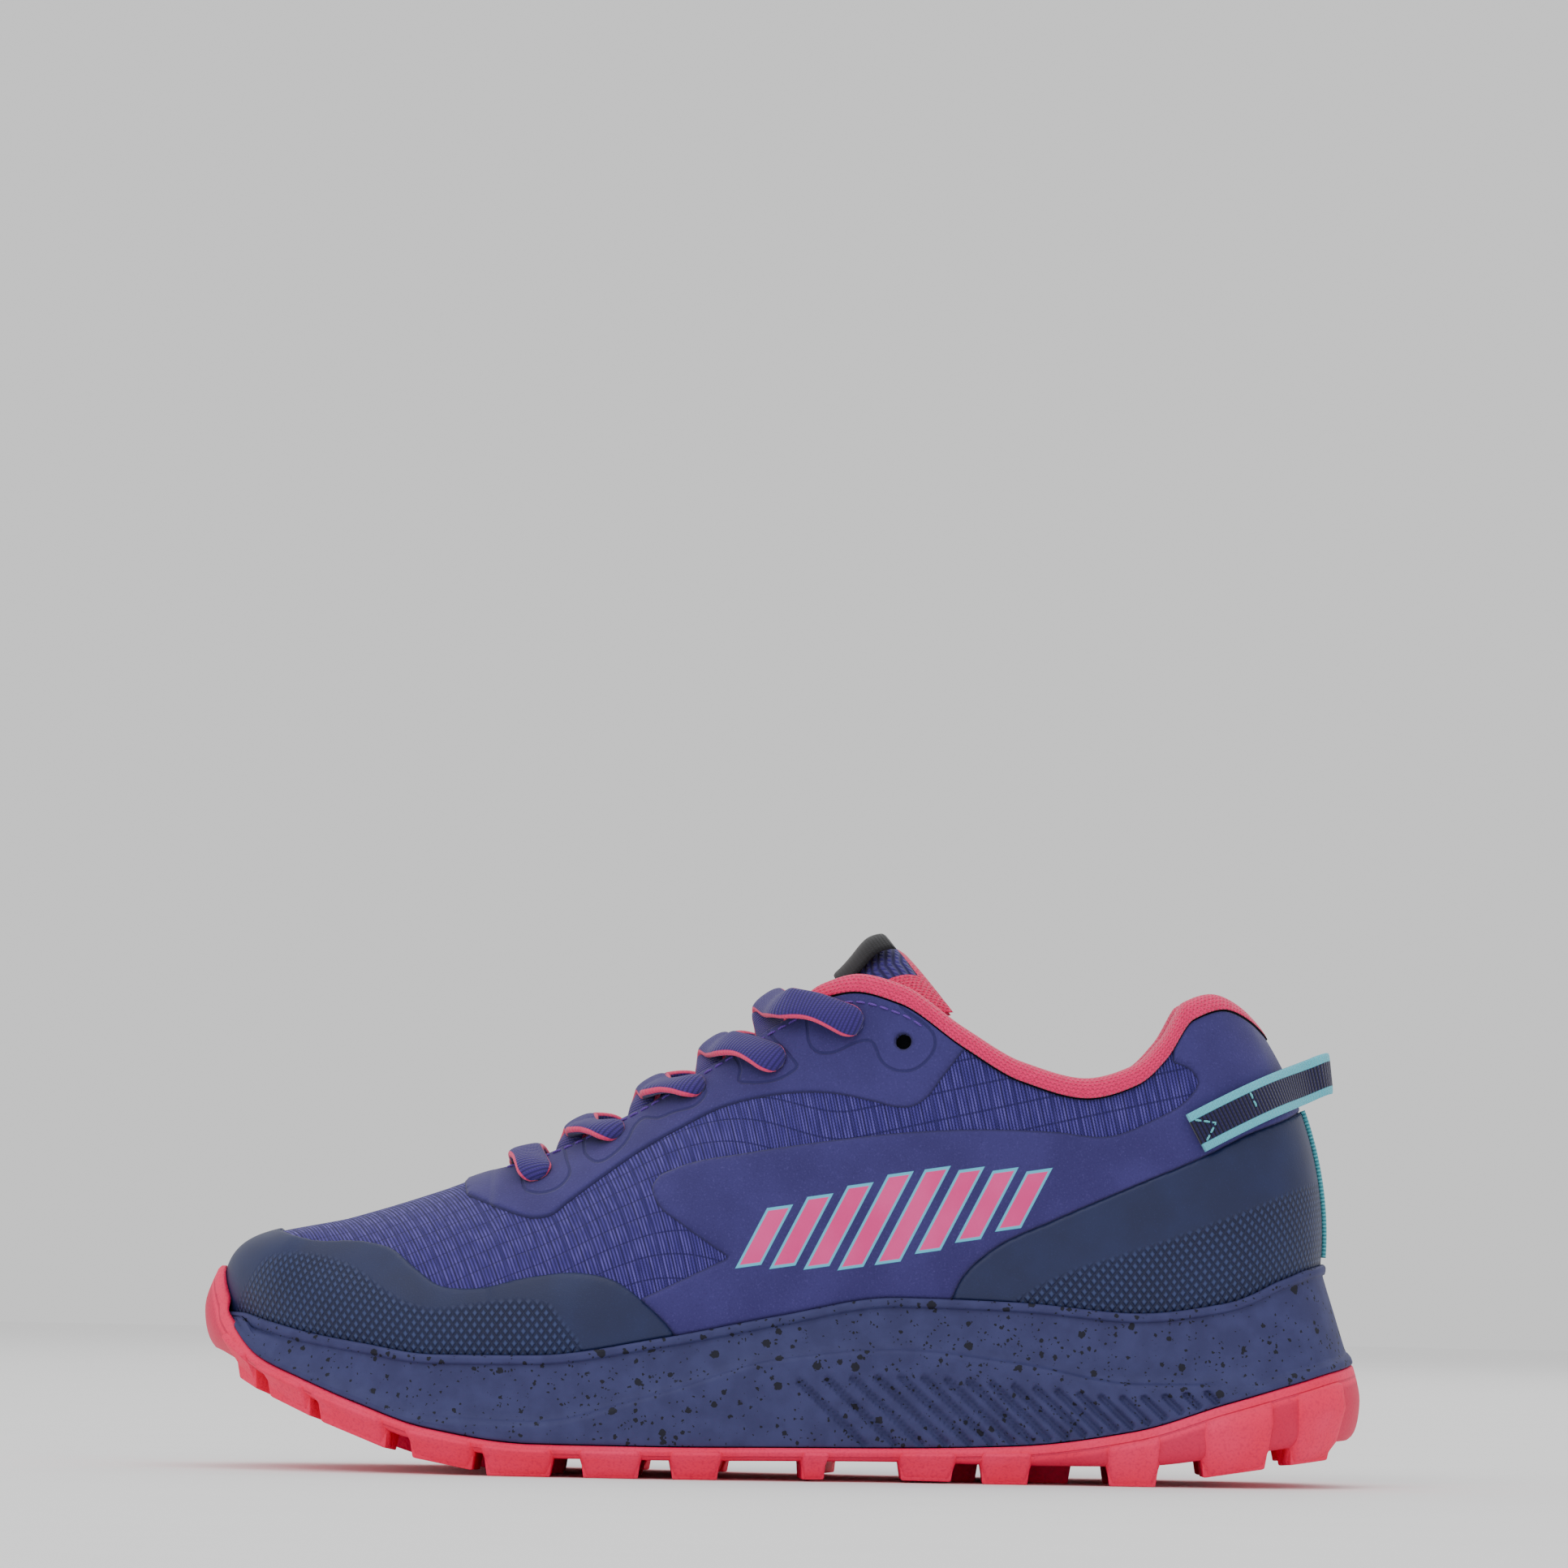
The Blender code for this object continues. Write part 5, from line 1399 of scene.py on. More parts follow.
    def insole(self) -> bpy.types.Object:
        """Loose footbed with a rounded edge."""
        last = self.last
        theta = last.angles(360)
        station = last.station_of(theta)
        inset, thick = last.feather(station) + last.feather_step + last.wall + 0.0008, self.insole_thick
        levels = ((0.0, self.gap), (0.0002, thick - 0.0010), (0.0014, thick), (0.0100, thick - 0.0004))
        corners = [self.spine(theta, self.over_footbed(self.gap))]
        corners += [self.level(theta, inset + more, self.over_footbed(tall)) for more, tall in levels]
        corners.append(self.spine(theta, self.over_footbed(thick - 0.0008)))
        net = self.closed(self.rings(corners, [1, 1, 2, 4, 8]))
        net.uv = net.points[:, :2] / MM
        cloth = SpacerKnit("insole_cloth", "#3A2E80", "#1E1850", 1.6, 1.2)
        return net.make("insole_cloth", cloth.material())

    def build(self) -> dict[str, bpy.types.Object]:
        """Makes the three pieces, by the node that each stands for."""
        return {"outsole": self.outsole(), "midsole": self.midsole(), "insole": self.insole()}


@dataclass
class UpperShell:
    """Knitted upper, and the bonded overlays cut from the same surface."""

    last: Last
    columns: int = 600
    rows: int = 62
    film_columns: int = 860
    film_rows: int = 96
    film: float = 0.0008
    hole: float = 0.0019
    edge_round: float = 0.0008
    side_datum: float = 0.104
    side_stations: tuple[float, float] = (0.34, 0.56)
    cap_edge: Array = fixed(np.array([
        (0.068, 0.472), (0.096, 0.456), (0.146, 0.454), (0.166, 0.443), (0.187, 0.406), (0.209, 0.372),
        (0.236, 0.367), (0.286, 0.392), (0.329, 0.402), (0.357, 0.389), (0.380, 0.353), (0.409, 0.283),
        (0.413, 0.100),
    ]))
    counter_edge: Array = fixed(np.array([
        (0.639, 0.100), (0.645, 0.371), (0.651, 0.402), (0.661, 0.431), (0.682, 0.470), (0.729, 0.523),
        (0.793, 0.590), (0.859, 0.658), (0.893, 0.700), (0.932, 0.738), (0.950, 0.762), (1.050, 0.820),
    ]))
    panel_front: Array = fixed(np.array([
        (0.829, 0.843), (0.846, 0.824), (0.851, 0.801), (0.846, 0.780), (0.836, 0.757), (0.814, 0.728),
        (0.777, 0.693), (0.729, 0.699), (0.664, 0.701), (0.611, 0.694), (0.516, 0.665), (0.471, 0.647),
        (0.407, 0.612), (0.393, 0.595), (0.388, 0.574), (0.394, 0.537), (0.411, 0.506), (0.454, 0.438),
    ]))
    eyestay_edge: Array = fixed(np.array([
        (0.228, 0.552), (0.264, 0.521), (0.286, 0.508), (0.300, 0.512), (0.318, 0.544), (0.346, 0.594),
        (0.379, 0.649), (0.411, 0.693), (0.446, 0.735), (0.482, 0.758), (0.511, 0.767), (0.539, 0.767),
        (0.575, 0.752), (0.596, 0.742), (0.607, 0.744), (0.618, 0.759), (0.632, 0.801), (0.648, 0.851),
    ]))
    eyelets: Array = fixed(np.array([
        (0.288, 0.595), (0.350, 0.675), (0.419, 0.766), (0.486, 0.830), (0.550, 0.911), (0.599, 0.873),
    ]))
    pressed_tabs: tuple[Array, ...] = fixed((
        np.array([(-62.8, 74.0), (-62.8, 70.4), (-61.9, 67.9), (-59.6, 67.2), (-52.6, 69.8), (-51.4, 72.0),
                  (-52.3, 75.2), (-55.0, 82.0), (-64.0, 78.0)]),
        np.array([(-48.4, 80.0), (-47.8, 76.8), (-45.6, 74.9), (-39.5, 78.1), (-37.9, 80.0), (-36.0, 83.9),
                  (-33.7, 85.8), (-31.2, 85.5), (-27.0, 87.1), (-20.9, 89.3), (-19.2, 91.9), (-20.5, 94.5),
                  (-26.0, 103.0), (-52.0, 88.0)]),
        np.array([(-11.0, 97.5), (-11.3, 94.7), (-9.1, 94.4), (1.1, 97.0), (2.5, 98.3), (1.1, 100.5),
                  (-3.2, 105.0), (-8.0, 112.0), (-14.0, 104.0)]),
        np.array([(4.8, 107.5), (5.6, 103.5), (7.1, 102.0), (9.7, 101.7), (17.9, 104.8), (20.1, 104.8),
                  (21.2, 103.0), (22.2, 100.5), (24.5, 98.4), (30.6, 98.2), (33.2, 100.2), (35.2, 103.5),
                  (34.9, 106.6), (32.6, 109.1), (28.0, 112.2), (22.0, 119.0), (6.0, 119.0)]),
    ))
    cap_hatch: Array = fixed(np.array([
        (0.030, 0.10), (0.030, 0.330), (0.042, 0.385), (0.056, 0.425), (0.078, 0.437), (0.105, 0.434),
        (0.138, 0.408), (0.160, 0.372), (0.183, 0.342), (0.204, 0.332), (0.227, 0.338), (0.255, 0.349),
        (0.290, 0.352), (0.305, 0.344), (0.317, 0.310), (0.330, 0.275), (0.338, 0.10),
    ]))
    counter_hatch: Array = fixed(np.array([
        (0.690, 0.10), (0.692, 0.360), (0.715, 0.398), (0.745, 0.432), (0.783, 0.462), (0.830, 0.500),
        (0.865, 0.532), (0.907, 0.572), (0.935, 0.600), (1.050, 0.640), (1.050, 0.10),
    ]))

    def __post_init__(self) -> None:
        """Works out the lateral eyelets' angles and rises, and the centres of all eyelets."""
        self.holes = [self.last.locate(s, h) for s, h in self.eyelets]
        centres = [self.last.skin(side.value * t, r) for side in Side for t, r in self.holes]
        self.hole_centres = np.array(centres)

    def outline(self, *lines: Array, ends: tuple[tuple[float, float], ...] = ()) -> Array:
        """Closed side view outline in metres: each line smoothed on its own, then the end corners.

        Args:
            lines: Lines of stations and heights.
            ends: Corners that close the outline.

        Returns:
            X and Z of its points.
        """
        size = [self.last.length, self.last.upper_height]
        smoothed = [curve_through(line * size, 8 * len(line)) for line in lines]
        return np.vstack(smoothed + [np.array(ends).reshape(-1, 2) * size]) - [0.5 * self.last.length, 0.0]

    def away_from_holes(self, points: Array) -> Array:
        """Distance from the nearest eyelet's edge."""
        away = np.linalg.norm(points[:, None] - self.hole_centres[None], axis=-1)
        return away.min(1) - self.hole

    def trimmed(
        self, theta: Array, rise: Array, wrap: bool, region: Callable[[Array], Array],
        offsets: tuple[float, float], middle: float | None = None,
    ) -> Net:
        """Part of the upper's surface with clean edges, as a closed shell.

        Grid points within half a cell of the region's edge slide onto it along the region's own slope.
        The outside then rises from the edge on a quarter circle.

        Args:
            theta: Angles of the grid's columns.
            rise: Rises of its rows.
            wrap: Whether its columns close round the shoe.
            region: Distance inside the region, for rows of points.
            offsets: Distances of the inside and the outside from the knit's surface.
            middle: Angle that the surface coordinates run round from, or none where they run along X.

        Returns:
            The shell.
        """
        last = self.last
        angle, height = np.meshgrid(theta, rise)
        shape = angle.shape
        inside = region(last.skin(angle, height).reshape(-1, 3)).reshape(shape)
        gj = np.gradient(inside, axis=0)
        gi = 0.5 * (np.roll(inside, -1, 1) - np.roll(inside, 1, 1)) if wrap else np.gradient(inside, axis=1)
        gj[-1] = 0.0
        steep = np.maximum(gi ** 2 + gj ** 2, 1e-14)
        shift_i, shift_j = -inside * gi / steep, -inside * gj / steep
        near = np.maximum(np.abs(shift_i), np.abs(shift_j)) <= 0.55
        index = np.arange(len(theta), dtype=float)
        run, turns = (np.append(theta, 2 * math.pi), np.append(index, len(theta))) if wrap else (theta, index)
        run = np.concatenate([[2 * run[0] - run[1]], run, [2 * run[-1] - run[-2]]])
        turns = np.concatenate([[-1.0], turns, [turns[-1] + 1.0]])
        for _ in range(2):
            slid_i = index[None, :] + np.where(near, shift_i, 0.0)
            slid_j = np.arange(len(rise))[:, None] + np.where(near, shift_j, 0.0)
            slid_j = np.clip(slid_j, 0, len(rise) - 1)
            angle = np.interp(slid_i, turns, run)
            height = np.interp(slid_j, np.arange(len(rise)), rise)
            left = region(last.skin(angle, height).reshape(-1, 3)).reshape(shape)
            shift_i = np.clip(shift_i - left * gi / steep, -0.8, 0.8)
            shift_j = np.clip(shift_j - left * gj / steep, -0.8, 0.8)
        state = np.where(near, 0, np.sign(inside)).astype(int).ravel()
        quads = grid_quads(*shape, wrap)
        marks = state[quads]
        whole = (marks >= 0).all(1) & (marks > 0).any(1)
        faces = [quads[whole]]
        for k in range(4):
            rest = [(k + 1) % 4, (k + 2) % 4, (k + 3) % 4]
            kept = (marks[:, k] < 0) & (marks[:, rest] >= 0).all(1) & (marks[:, rest] > 0).any(1)
            faces.append(quads[kept][:, rest])
        depth = np.where(near, 0.0, np.maximum(left, 0.0))
        lift = dome(depth / self.edge_round)
        low, high = offsets
        outer = last.skin_off(angle, height, low + (high - low) * (0.25 + 0.75 * lift))
        inner = last.skin_off(angle, height, low + np.zeros(shape))
        uv = self.spots(angle, height, outer, middle)
        if wrap:
            faces = [self.welded(lot, shape, theta) for lot in faces]
        values = {"edge": depth.ravel() / MM}
        return thicken(outer.reshape(-1, 3), inner.reshape(-1, 3), faces, uv, values)

    def welded(self, faces: Array, shape: tuple[int, int], theta: Array) -> Array:
        """Faces in which both sides share their points along the closed ridge in front of the throat."""
        station = self.last.station_of(theta)
        columns = np.arange(shape[1])
        mirror = (shape[1] - columns) % shape[1]
        closed = (station <= 0.2455) & (theta > math.pi)
        order = np.arange(shape[0] * shape[1])
        top = (shape[0] - 1) * shape[1]
        order[top + columns[closed]] = top + mirror[closed]
        return order[faces]

    def spots(self, angle: Array, height: Array, outer: Array, middle: float | None) -> Array:
        """Surface coordinates in millimetres.

        Along is X. Across is the distance aside of the middle line plus the depth below the crest, which
        lets a pattern run straight over the toe, and turns into the depth below a datum where the sides are
        steep. It is negative on the lateral side. With a middle, along is the way round the outline from
        there, and across is the way up the rib.
        """
        turned = np.mod(angle, 2 * math.pi)
        if middle is not None:
            window = np.linspace(middle - math.pi, middle + math.pi, 513)
            outline = self.last.plan(window)
            arc = walk(outline)
            along = np.interp(np.mod(angle - middle + math.pi, 2 * math.pi) + middle - math.pi, window, arc)
            return np.stack([along, self.rib_length(turned, height)], -1).reshape(-1, 2) / MM
        x, y, z = np.moveaxis(outer, -1, 0)
        side = np.where(turned <= math.pi, -1.0, 1.0)
        aside = np.abs(y - self.last.centre(np.clip(self.last.station_at(x), 0.0, 1.0)))
        upright = ease(*self.side_stations, self.last.station_at(x))
        across = (1 - upright) * (aside + self.crest(x)) + upright * self.side_datum - z
        return np.stack([x, side * across], -1).reshape(-1, 2) / MM

    def crest(self, x: Array) -> Array:
        """Height of the upper's top line at each X: the toe's middle rib, then the tops of the ribs."""
        toe = self.last.skin(np.zeros(40), np.linspace(0.0, 1.0, 40))
        tops = self.last.ribs["top"] > self.last.ribs["top"][0]
        knots = np.concatenate([toe[:, 0], self.last.place(self.last.ribs["top"][tops])])
        heights = np.concatenate([toe[:, 2], self.last.upper_height * self.last.ribs["height"][tops]])
        order = np.argsort(knots)
        return np.interp(x, knots[order], heights[order])

    def rib_length(self, turned: Array, height: Array) -> Array:
        """Way up the rib to each point, looked up in a table over all angles and rises."""
        theta = np.linspace(0.0, 2 * math.pi, 257)
        grid = self.last.skin(*np.meshgrid(theta, np.linspace(0.0, 1.0, 33)))
        walked = walk(grid)
        column, row = turned / (2 * math.pi) * 256, np.clip(height, 0.0, 1.0) * 32
        c, r = np.minimum(column.astype(int), 255), np.minimum(row.astype(int), 31)
        fc, fr = column - c, row - r
        low = walked[r, c] * (1 - fc) + walked[r, c + 1] * fc
        high = walked[r + 1, c] * (1 - fc) + walked[r + 1, c + 1] * fc
        return low * (1 - fr) + high * fr

    def knit(self) -> bpy.types.Object:
        """The hollow upper, with its eyelets."""
        rise = np.concatenate([[-1.0, -0.4], np.linspace(0.0, 1.0, self.rows)])
        theta = self.last.angles(self.columns)
        net = self.trimmed(theta, rise, True, self.away_from_holes, (-self.last.wall, 0.0))
        return net.make("upper_knit", RipstopKnit().material())

    def film_piece(
        self, name: str, outline: Array, material: bpy.types.Material, side: Side | None = None,
        holes: bool = False, behind: float = 0.0, low: float = 0.0, hatch: Array | None = None,
        middle: float | None = None,
    ) -> bpy.types.Object:
        """One bonded overlay.

        Args:
            name: The piece's name.
            outline: Its closed side view outline.
            material: Its finish.
            side: The side that it lies on, or none for both.
            holes: Whether the eyelets go through it.
            behind: The station behind which it lies.
            low: The lowest rise of its grid.
            hatch: Outline of its hatch, where it has one.
            middle: Angle that its surface coordinates run round from.

        Returns:
            The piece.
        """
        theta = self.last.angles(self.film_columns)
        kept = self.last.station_of(theta) >= behind
        if side is Side.LATERAL:
            theta = theta[kept & (theta <= math.pi + 1e-9)]
        elif side is Side.MEDIAL:
            theta = theta[kept & (theta >= math.pi - 1e-9)]
        split = float(self.last.centre(1.0))

        def region(points: Array) -> Array:
            """Distance inside the overlay, for rows of points."""
            inside = signed_polyline(points[:, [0, 2]], outline)
            if holes:
                inside = np.minimum(inside, self.away_from_holes(points))
            if side is not None:
                inside = np.minimum(inside, (points[:, 1] - split) * -side.value - 0.0002)
            return inside

        rise = np.linspace(low, 1.0, self.film_rows)
        net = self.trimmed(theta, rise, side is None, region, (0.00002, self.film), middle)
        flat = net.points[:, [0, 2]]
        if hatch is not None:
            net.values["hatch"] = signed_polyline(flat, hatch) / MM
        if holes:
            tabs = [signed_polyline(flat, curve_through(tab * MM, 60, True)) for tab in self.pressed_tabs]
            net.values["pressed"] = np.max(tabs, 0) / MM
        return net.make(name, material)

    def build(self) -> dict[str, bpy.types.Object]:
        """Makes the upper and its overlays, by the node that each stands for."""
        hatched = HatchedFilm().material()
        barred = SuedeFilm("indigo_suede_film_printed", bars=SlantedBars()).material()
        pressed = SuedeFilm("indigo_suede_film_pressed", pressed=True).material()
        cap = self.outline(self.cap_edge, ends=((-0.05, 0.10), (-0.05, 0.60), (0.064, 0.60)))
        counter = self.outline(self.counter_edge, ends=((1.05, 0.10),))
        panel = self.outline(self.counter_edge, ends=((1.05, 1.10), (0.824, 1.10)))
        panel = np.vstack([panel, self.outline(self.panel_front, self.cap_edge[-3:])])
        above = ((0.665, 0.90), (0.665, 1.20), (0.205, 1.20), (0.222, 0.60))
        cap_hatch, counter_hatch = self.outline(self.cap_hatch), self.outline(self.counter_hatch)
        eyestay = self.outline(self.eyestay_edge, ends=above)
        piece = self.film_piece
        return {
            "upper": self.knit(),
            "toe_cap": piece("toe_cap_film", cap, hatched, hatch=cap_hatch, middle=0.0),
            "heel_counter": piece("heel_counter_film", counter, hatched, hatch=counter_hatch, middle=math.pi),
            "side_panel_lateral": piece("side_panel_film_lateral", panel, barred, Side.LATERAL, behind=0.3),
            "side_panel_medial": piece("side_panel_film_medial", panel, barred, Side.MEDIAL, behind=0.3),
            "eyestay": piece("eyestay_film", eyestay, pressed, holes=True, low=0.35),
        }


@dataclass
class Collar:
    """Padded collar: a pink knitted roll over the top line, and the lining that it becomes inside."""

    last: Last
    film: float = 0.0012
    start: float = 0.485
    full: float = 0.522
    pad: float = 0.0048
    pad_start: float = 0.515
    pad_full: float = 0.66
    stand: float = 0.0052
    columns: int = 420
    end_columns: float = 6.0

    def angles(self) -> Array:
        """Angles spaced evenly along the top line, from the lateral front round the heel to the medial."""
        dense = np.linspace(float(self.last.angle_of(self.start)), math.pi, 1500)
        top = self.last.skin(dense, np.ones_like(dense))
        walked = walk(top)
        half = np.interp(np.linspace(0.0, walked[-1], self.columns // 2), walked, dense)
        return np.concatenate([half, 2 * math.pi - half[-2::-1]])

    def build(self) -> dict[str, bpy.types.Object]:
        """Closed profile carried along the top line: an arch over the wall, a pad inside, and back up.

        The arch is half an oval from the film's outside to the pad's inside. The pad thins out towards its
        lower edge. Both shrink towards the collar's two front ends.
        """
        last = self.last
        theta = self.angles()
        station = last.station_of(theta)
        grown = 0.15 + 0.85 * ease(self.start, self.full, station)
        normal, up = last.skin_frame(theta, np.ones_like(theta))
        top = last.skin(theta, np.ones_like(theta))
        inside = last.wall + 0.0008
        room = np.clip((station - self.pad_start) / (self.pad_full - self.pad_start), 0.25, 1.0)
        pad = self.pad * room * grown
        turn = np.linspace(0.0, math.pi, 24)[:, None]
        middle, half = 0.5 * (self.film - inside - pad), 0.5 * (self.film + inside + pad)
        out = middle + half * np.sign(np.cos(turn)) * np.abs(np.cos(turn)) ** 0.8 + 0.0005 * np.sin(turn)
        tall = 0.0004 + (self.stand - 0.0004) * (0.45 + 0.55 * grown) * np.sin(turn) ** 0.75
        arch = top + normal * out[..., None] + up * tall[..., None]
        down = np.linspace(0.97, 0.555, 20)[:, None]
        swell = np.clip((down - 0.545) / 0.26, 0.0, 1.0) ** 0.6
        rise = 1.0 - (1.0 - down) * grown
        lining = last.skin_off(np.broadcast_to(theta, rise.shape), rise, -(inside + pad * swell))
        back = 1.0 - (1.0 - np.linspace(0.55, 0.995, 10)[:, None]) * grown
        wall = last.skin_off(np.broadcast_to(theta, back.shape), back, -inside * np.ones_like(back))
        rings = np.concatenate([arch, lining, wall]).transpose(1, 0, 2)
        close = np.minimum(np.arange(len(theta)), np.arange(len(theta))[::-1]) / self.end_columns
        centre = rings.mean(1, keepdims=True)
        rings = centre + (rings - centre) * dome(close, 0.02)[:, None, None]
        walked = walk(rings, 1)
        uv = np.stack([np.broadcast_to(walk(top)[:, None], walked.shape), walked], -1) / MM
        net = tube(rings, uv)
        quads = net.faces[0]
        hidden = (quads[:, 0] % rings.shape[1] >= len(arch) + len(lining)).astype(int)
        net.finish = [hidden] + [np.zeros(len(lot), int) for lot in net.faces[1:]]
        knit = SpacerKnit("pink_spacer_knit", "#FF1E6E", "#DA1658")
        made = net.make("collar_roll", knit.material(), FoamBacking().material())
        return {"collar": made}


@dataclass
class Tongue:
    """Padded tongue: ribbed cloth outside, pink lining inside and over its top, and a bare label."""

    last: Last
    thick: float = 0.0035
    top_thick: float = 0.0070
    free_from: float = 0.531
    lean: tuple[float, float] = (0.70, 0.45)
    swept: float = 0.0050
    tuck_edge: float = 0.55
    tuck_rise: float = 0.24
    tuck_gap: float = 0.0012
    pad: float = 0.0048
    roll_start: float = 0.515
    label_width: float = 0.018
    label_thick: float = 0.0009
    label_stations: tuple[float, float] = (0.541, 0.588)
    tucked_stations: tuple[float, float] = (0.262, 0.495)
    free_to: float = 0.600
    columns: int = 65
    shape: Table = fixed(table(
        "station height half drop",
        (0.236, 0.565, 0.130, 0.020), (0.279, 0.612, 0.160, 0.035), (0.354, 0.704, 0.185, 0.060),
        (0.429, 0.812, 0.200, 0.090), (0.486, 0.905, 0.200, 0.115), (0.529, 0.979, 0.175, 0.140),
        (0.556, 1.028, 0.170, 0.150), (0.575, 1.060, 0.165, 0.155), (0.586, 1.066, 0.160, 0.155),
        (0.600, 1.059, 0.150, 0.150),
    ))

    def crown(self, station: Array) -> Array:
        """Height of the tongue's middle line."""
        return self.last.upper_height * smooth(self.shape["station"], self.shape["height"], station, False)

    def free(self, station: Array, across: Array, depth: Array | float = 0.0) -> Array:
        """Point where the tongue stands free: its wings drop from the crown, square to its lean.

        Args:
            station: Station of the crown.
            across: Place across, from -1 to 1.
            depth: Distance below its face.

        Returns:
            The point.
        """
        last, rows = self.last, self.shape
        station, across = np.broadcast_arrays(np.asarray(station, float), np.asarray(across, float))
        share = (station - self.free_from) / (rows["station"][-1] - self.free_from)
        slope = self.lean[0] + (self.lean[1] - self.lean[0]) * share
        half = last.ball_width * smooth(rows["station"], rows["half"], station, False)
        wing = last.ball_width * smooth(rows["station"], rows["drop"], station, False)
        drop = wing * np.abs(across) ** 2.2 + depth
        steep = np.sqrt(1 + slope ** 2)
        y = last.centre(station) + across * (half - 0.4 * np.asarray(depth))
        x = last.place(station) + drop * slope / steep + self.swept * share ** 2 * np.abs(across) ** 2
        return np.stack([x, y, self.crown(station) - drop / steep], -1)

    def tucked(self, station: Array, across: Array, depth: Array | float = 0.0) -> Array:
        """Point under the eyestay: its wings follow the upper's inside, and a bridge joins them on top."""
        last = self.last
        side = np.where(across < 0, 1.0, -1.0)
        past = (np.abs(across) - self.tuck_edge) / (1 - self.tuck_edge)
        wing = np.clip(1.0 - past * self.tuck_rise, 0.0, 1.0)
        room = np.interp(station, (0.30, self.roll_start), (self.tuck_gap, self.tuck_gap + 0.4 * self.pad))
        under = last.skin_off(side * last.angle_of(station), wing, -(last.wall + room + depth))
        share = np.abs(across) / self.tuck_edge
        middle = last.centre(last.station_at(under[..., 0]))
        crown = self.crown(last.station_at(under[..., 0])) - depth
        bridge = under.copy()
        bridge[..., 1] = middle + (under[..., 1] - middle) * share
        bridge[..., 2] = crown + (under[..., 2] - crown) * share ** 2
        return np.where((np.abs(across) < self.tuck_edge)[..., None], bridge, under)

    def body(self) -> bpy.types.Object:
        """Padded sheet: two faces whose gap closes on a round edge all the way round."""
        across = np.sin(np.linspace(-0.5, 0.5, self.columns) * math.pi)
        low, wide = np.meshgrid(np.linspace(*self.tucked_stations, 90), across, indexing="ij")
        high, broad = np.meshgrid(np.linspace(self.free_from, self.free_to, 48), across, indexing="ij")
        puff = np.interp(high[:, 0], (0.531, 0.541, 0.592, 0.600), (0.75, 1.0, 1.0, 0.5)) * self.top_thick
        puff = puff[:, None] * (1.0 - 0.6 * np.abs(broad))
        face = self.joined(self.tucked(low, wide), self.free(high, broad))
        back = self.joined(self.tucked(low, wide, self.thick), self.free(high, broad, puff))
        middle, half = 0.5 * (face + back), 0.5 * (face - back)
        place = np.arange(len(face)) / (len(face) - 1)
        ends = np.minimum(place / 0.03, (1.0 - place) / 0.035)
        closing = dome(ends)[:, None] * (1 - np.abs(across) ** 14)[None] ** 0.5
        closing = np.maximum(closing, 0.03)[..., None]
        beside = walk(face, 1)
        uv = np.stack([walk(face), beside - beside[:, -1:] / 2], -1) / MM
        net = slab(middle + half * closing, middle - half * closing, uv).turned()
        quads = grid_quads(*face.shape[:2])
        row, column = quads[:, 0] // self.columns, quads[:, 0] % self.columns
        free = row > len(face) - high.shape[0]
        lined = ((row > 0.955 * len(face)) | (free & (np.abs(across[column]) > 0.74))).astype(int)
        net.finish = [lined, np.ones(len(quads), int), np.ones(len(net.faces[-1]), int)]
        ribbed = RibWeave("indigo_ribbed_knit", "#3C3180", "#170F48", 1.9, depth=0.45).material()
        lining = SpacerKnit("pink_tongue_lining", "#FF1E68", "#B81248").material()
        made = net.make("tongue_padded", ribbed, lining)
        return made

    def joined(self, low: Array, high: Array) -> Array:
        """Tucked rows and free rows with a cubic bridge between them, along the slopes of both."""
        a, b = low[-1], high[0]
        reach = np.linalg.norm(b - a, axis=-1, keepdims=True)
        start, end = unit(low[-1] - low[-3]) * reach, unit(high[2] - high[0]) * reach
        t = np.linspace(0, 1, 12)[1:-1, None, None]
        return np.concatenate([low, cubic(t, a, b, start, end), high])

    def label(self) -> bpy.types.Object:
        """Thin bare label that stands off the top of the tongue."""
        share = 0.5 * self.label_width / (self.last.ball_width * self.shape["half"][-3])
        low, high = self.label_stations
        station, across = np.meshgrid(np.linspace(low, high, 30), np.linspace(-1, 1, 40), indexing="ij")
        stand = 0.0009 + 0.0024 * ease(low, 0.580, station)
        edge = np.minimum((1 - np.abs(across)) / 0.06, np.minimum(station - low, high - station) / 0.0025)
        half = 0.5 * self.label_thick * dome(edge, 0.02)
        face = self.free(station, across * share, -(stand + half))
        back = self.free(station, across * share, -(stand - half))
        uv = np.stack([station * self.last.length, across * self.label_width / 2], -1) / MM
        weave = RibWeave("black_label_tape", "#0C0A14", "#040407", 0.7, depth=0.08).material()
        return slab(face, back, uv).turned().make("tongue_label_tape", weave)

    def build(self) -> dict[str, bpy.types.Object]:
        """Makes the tongue and its label."""
        return {"tongue": self.body(), "tongue_label": self.label()}


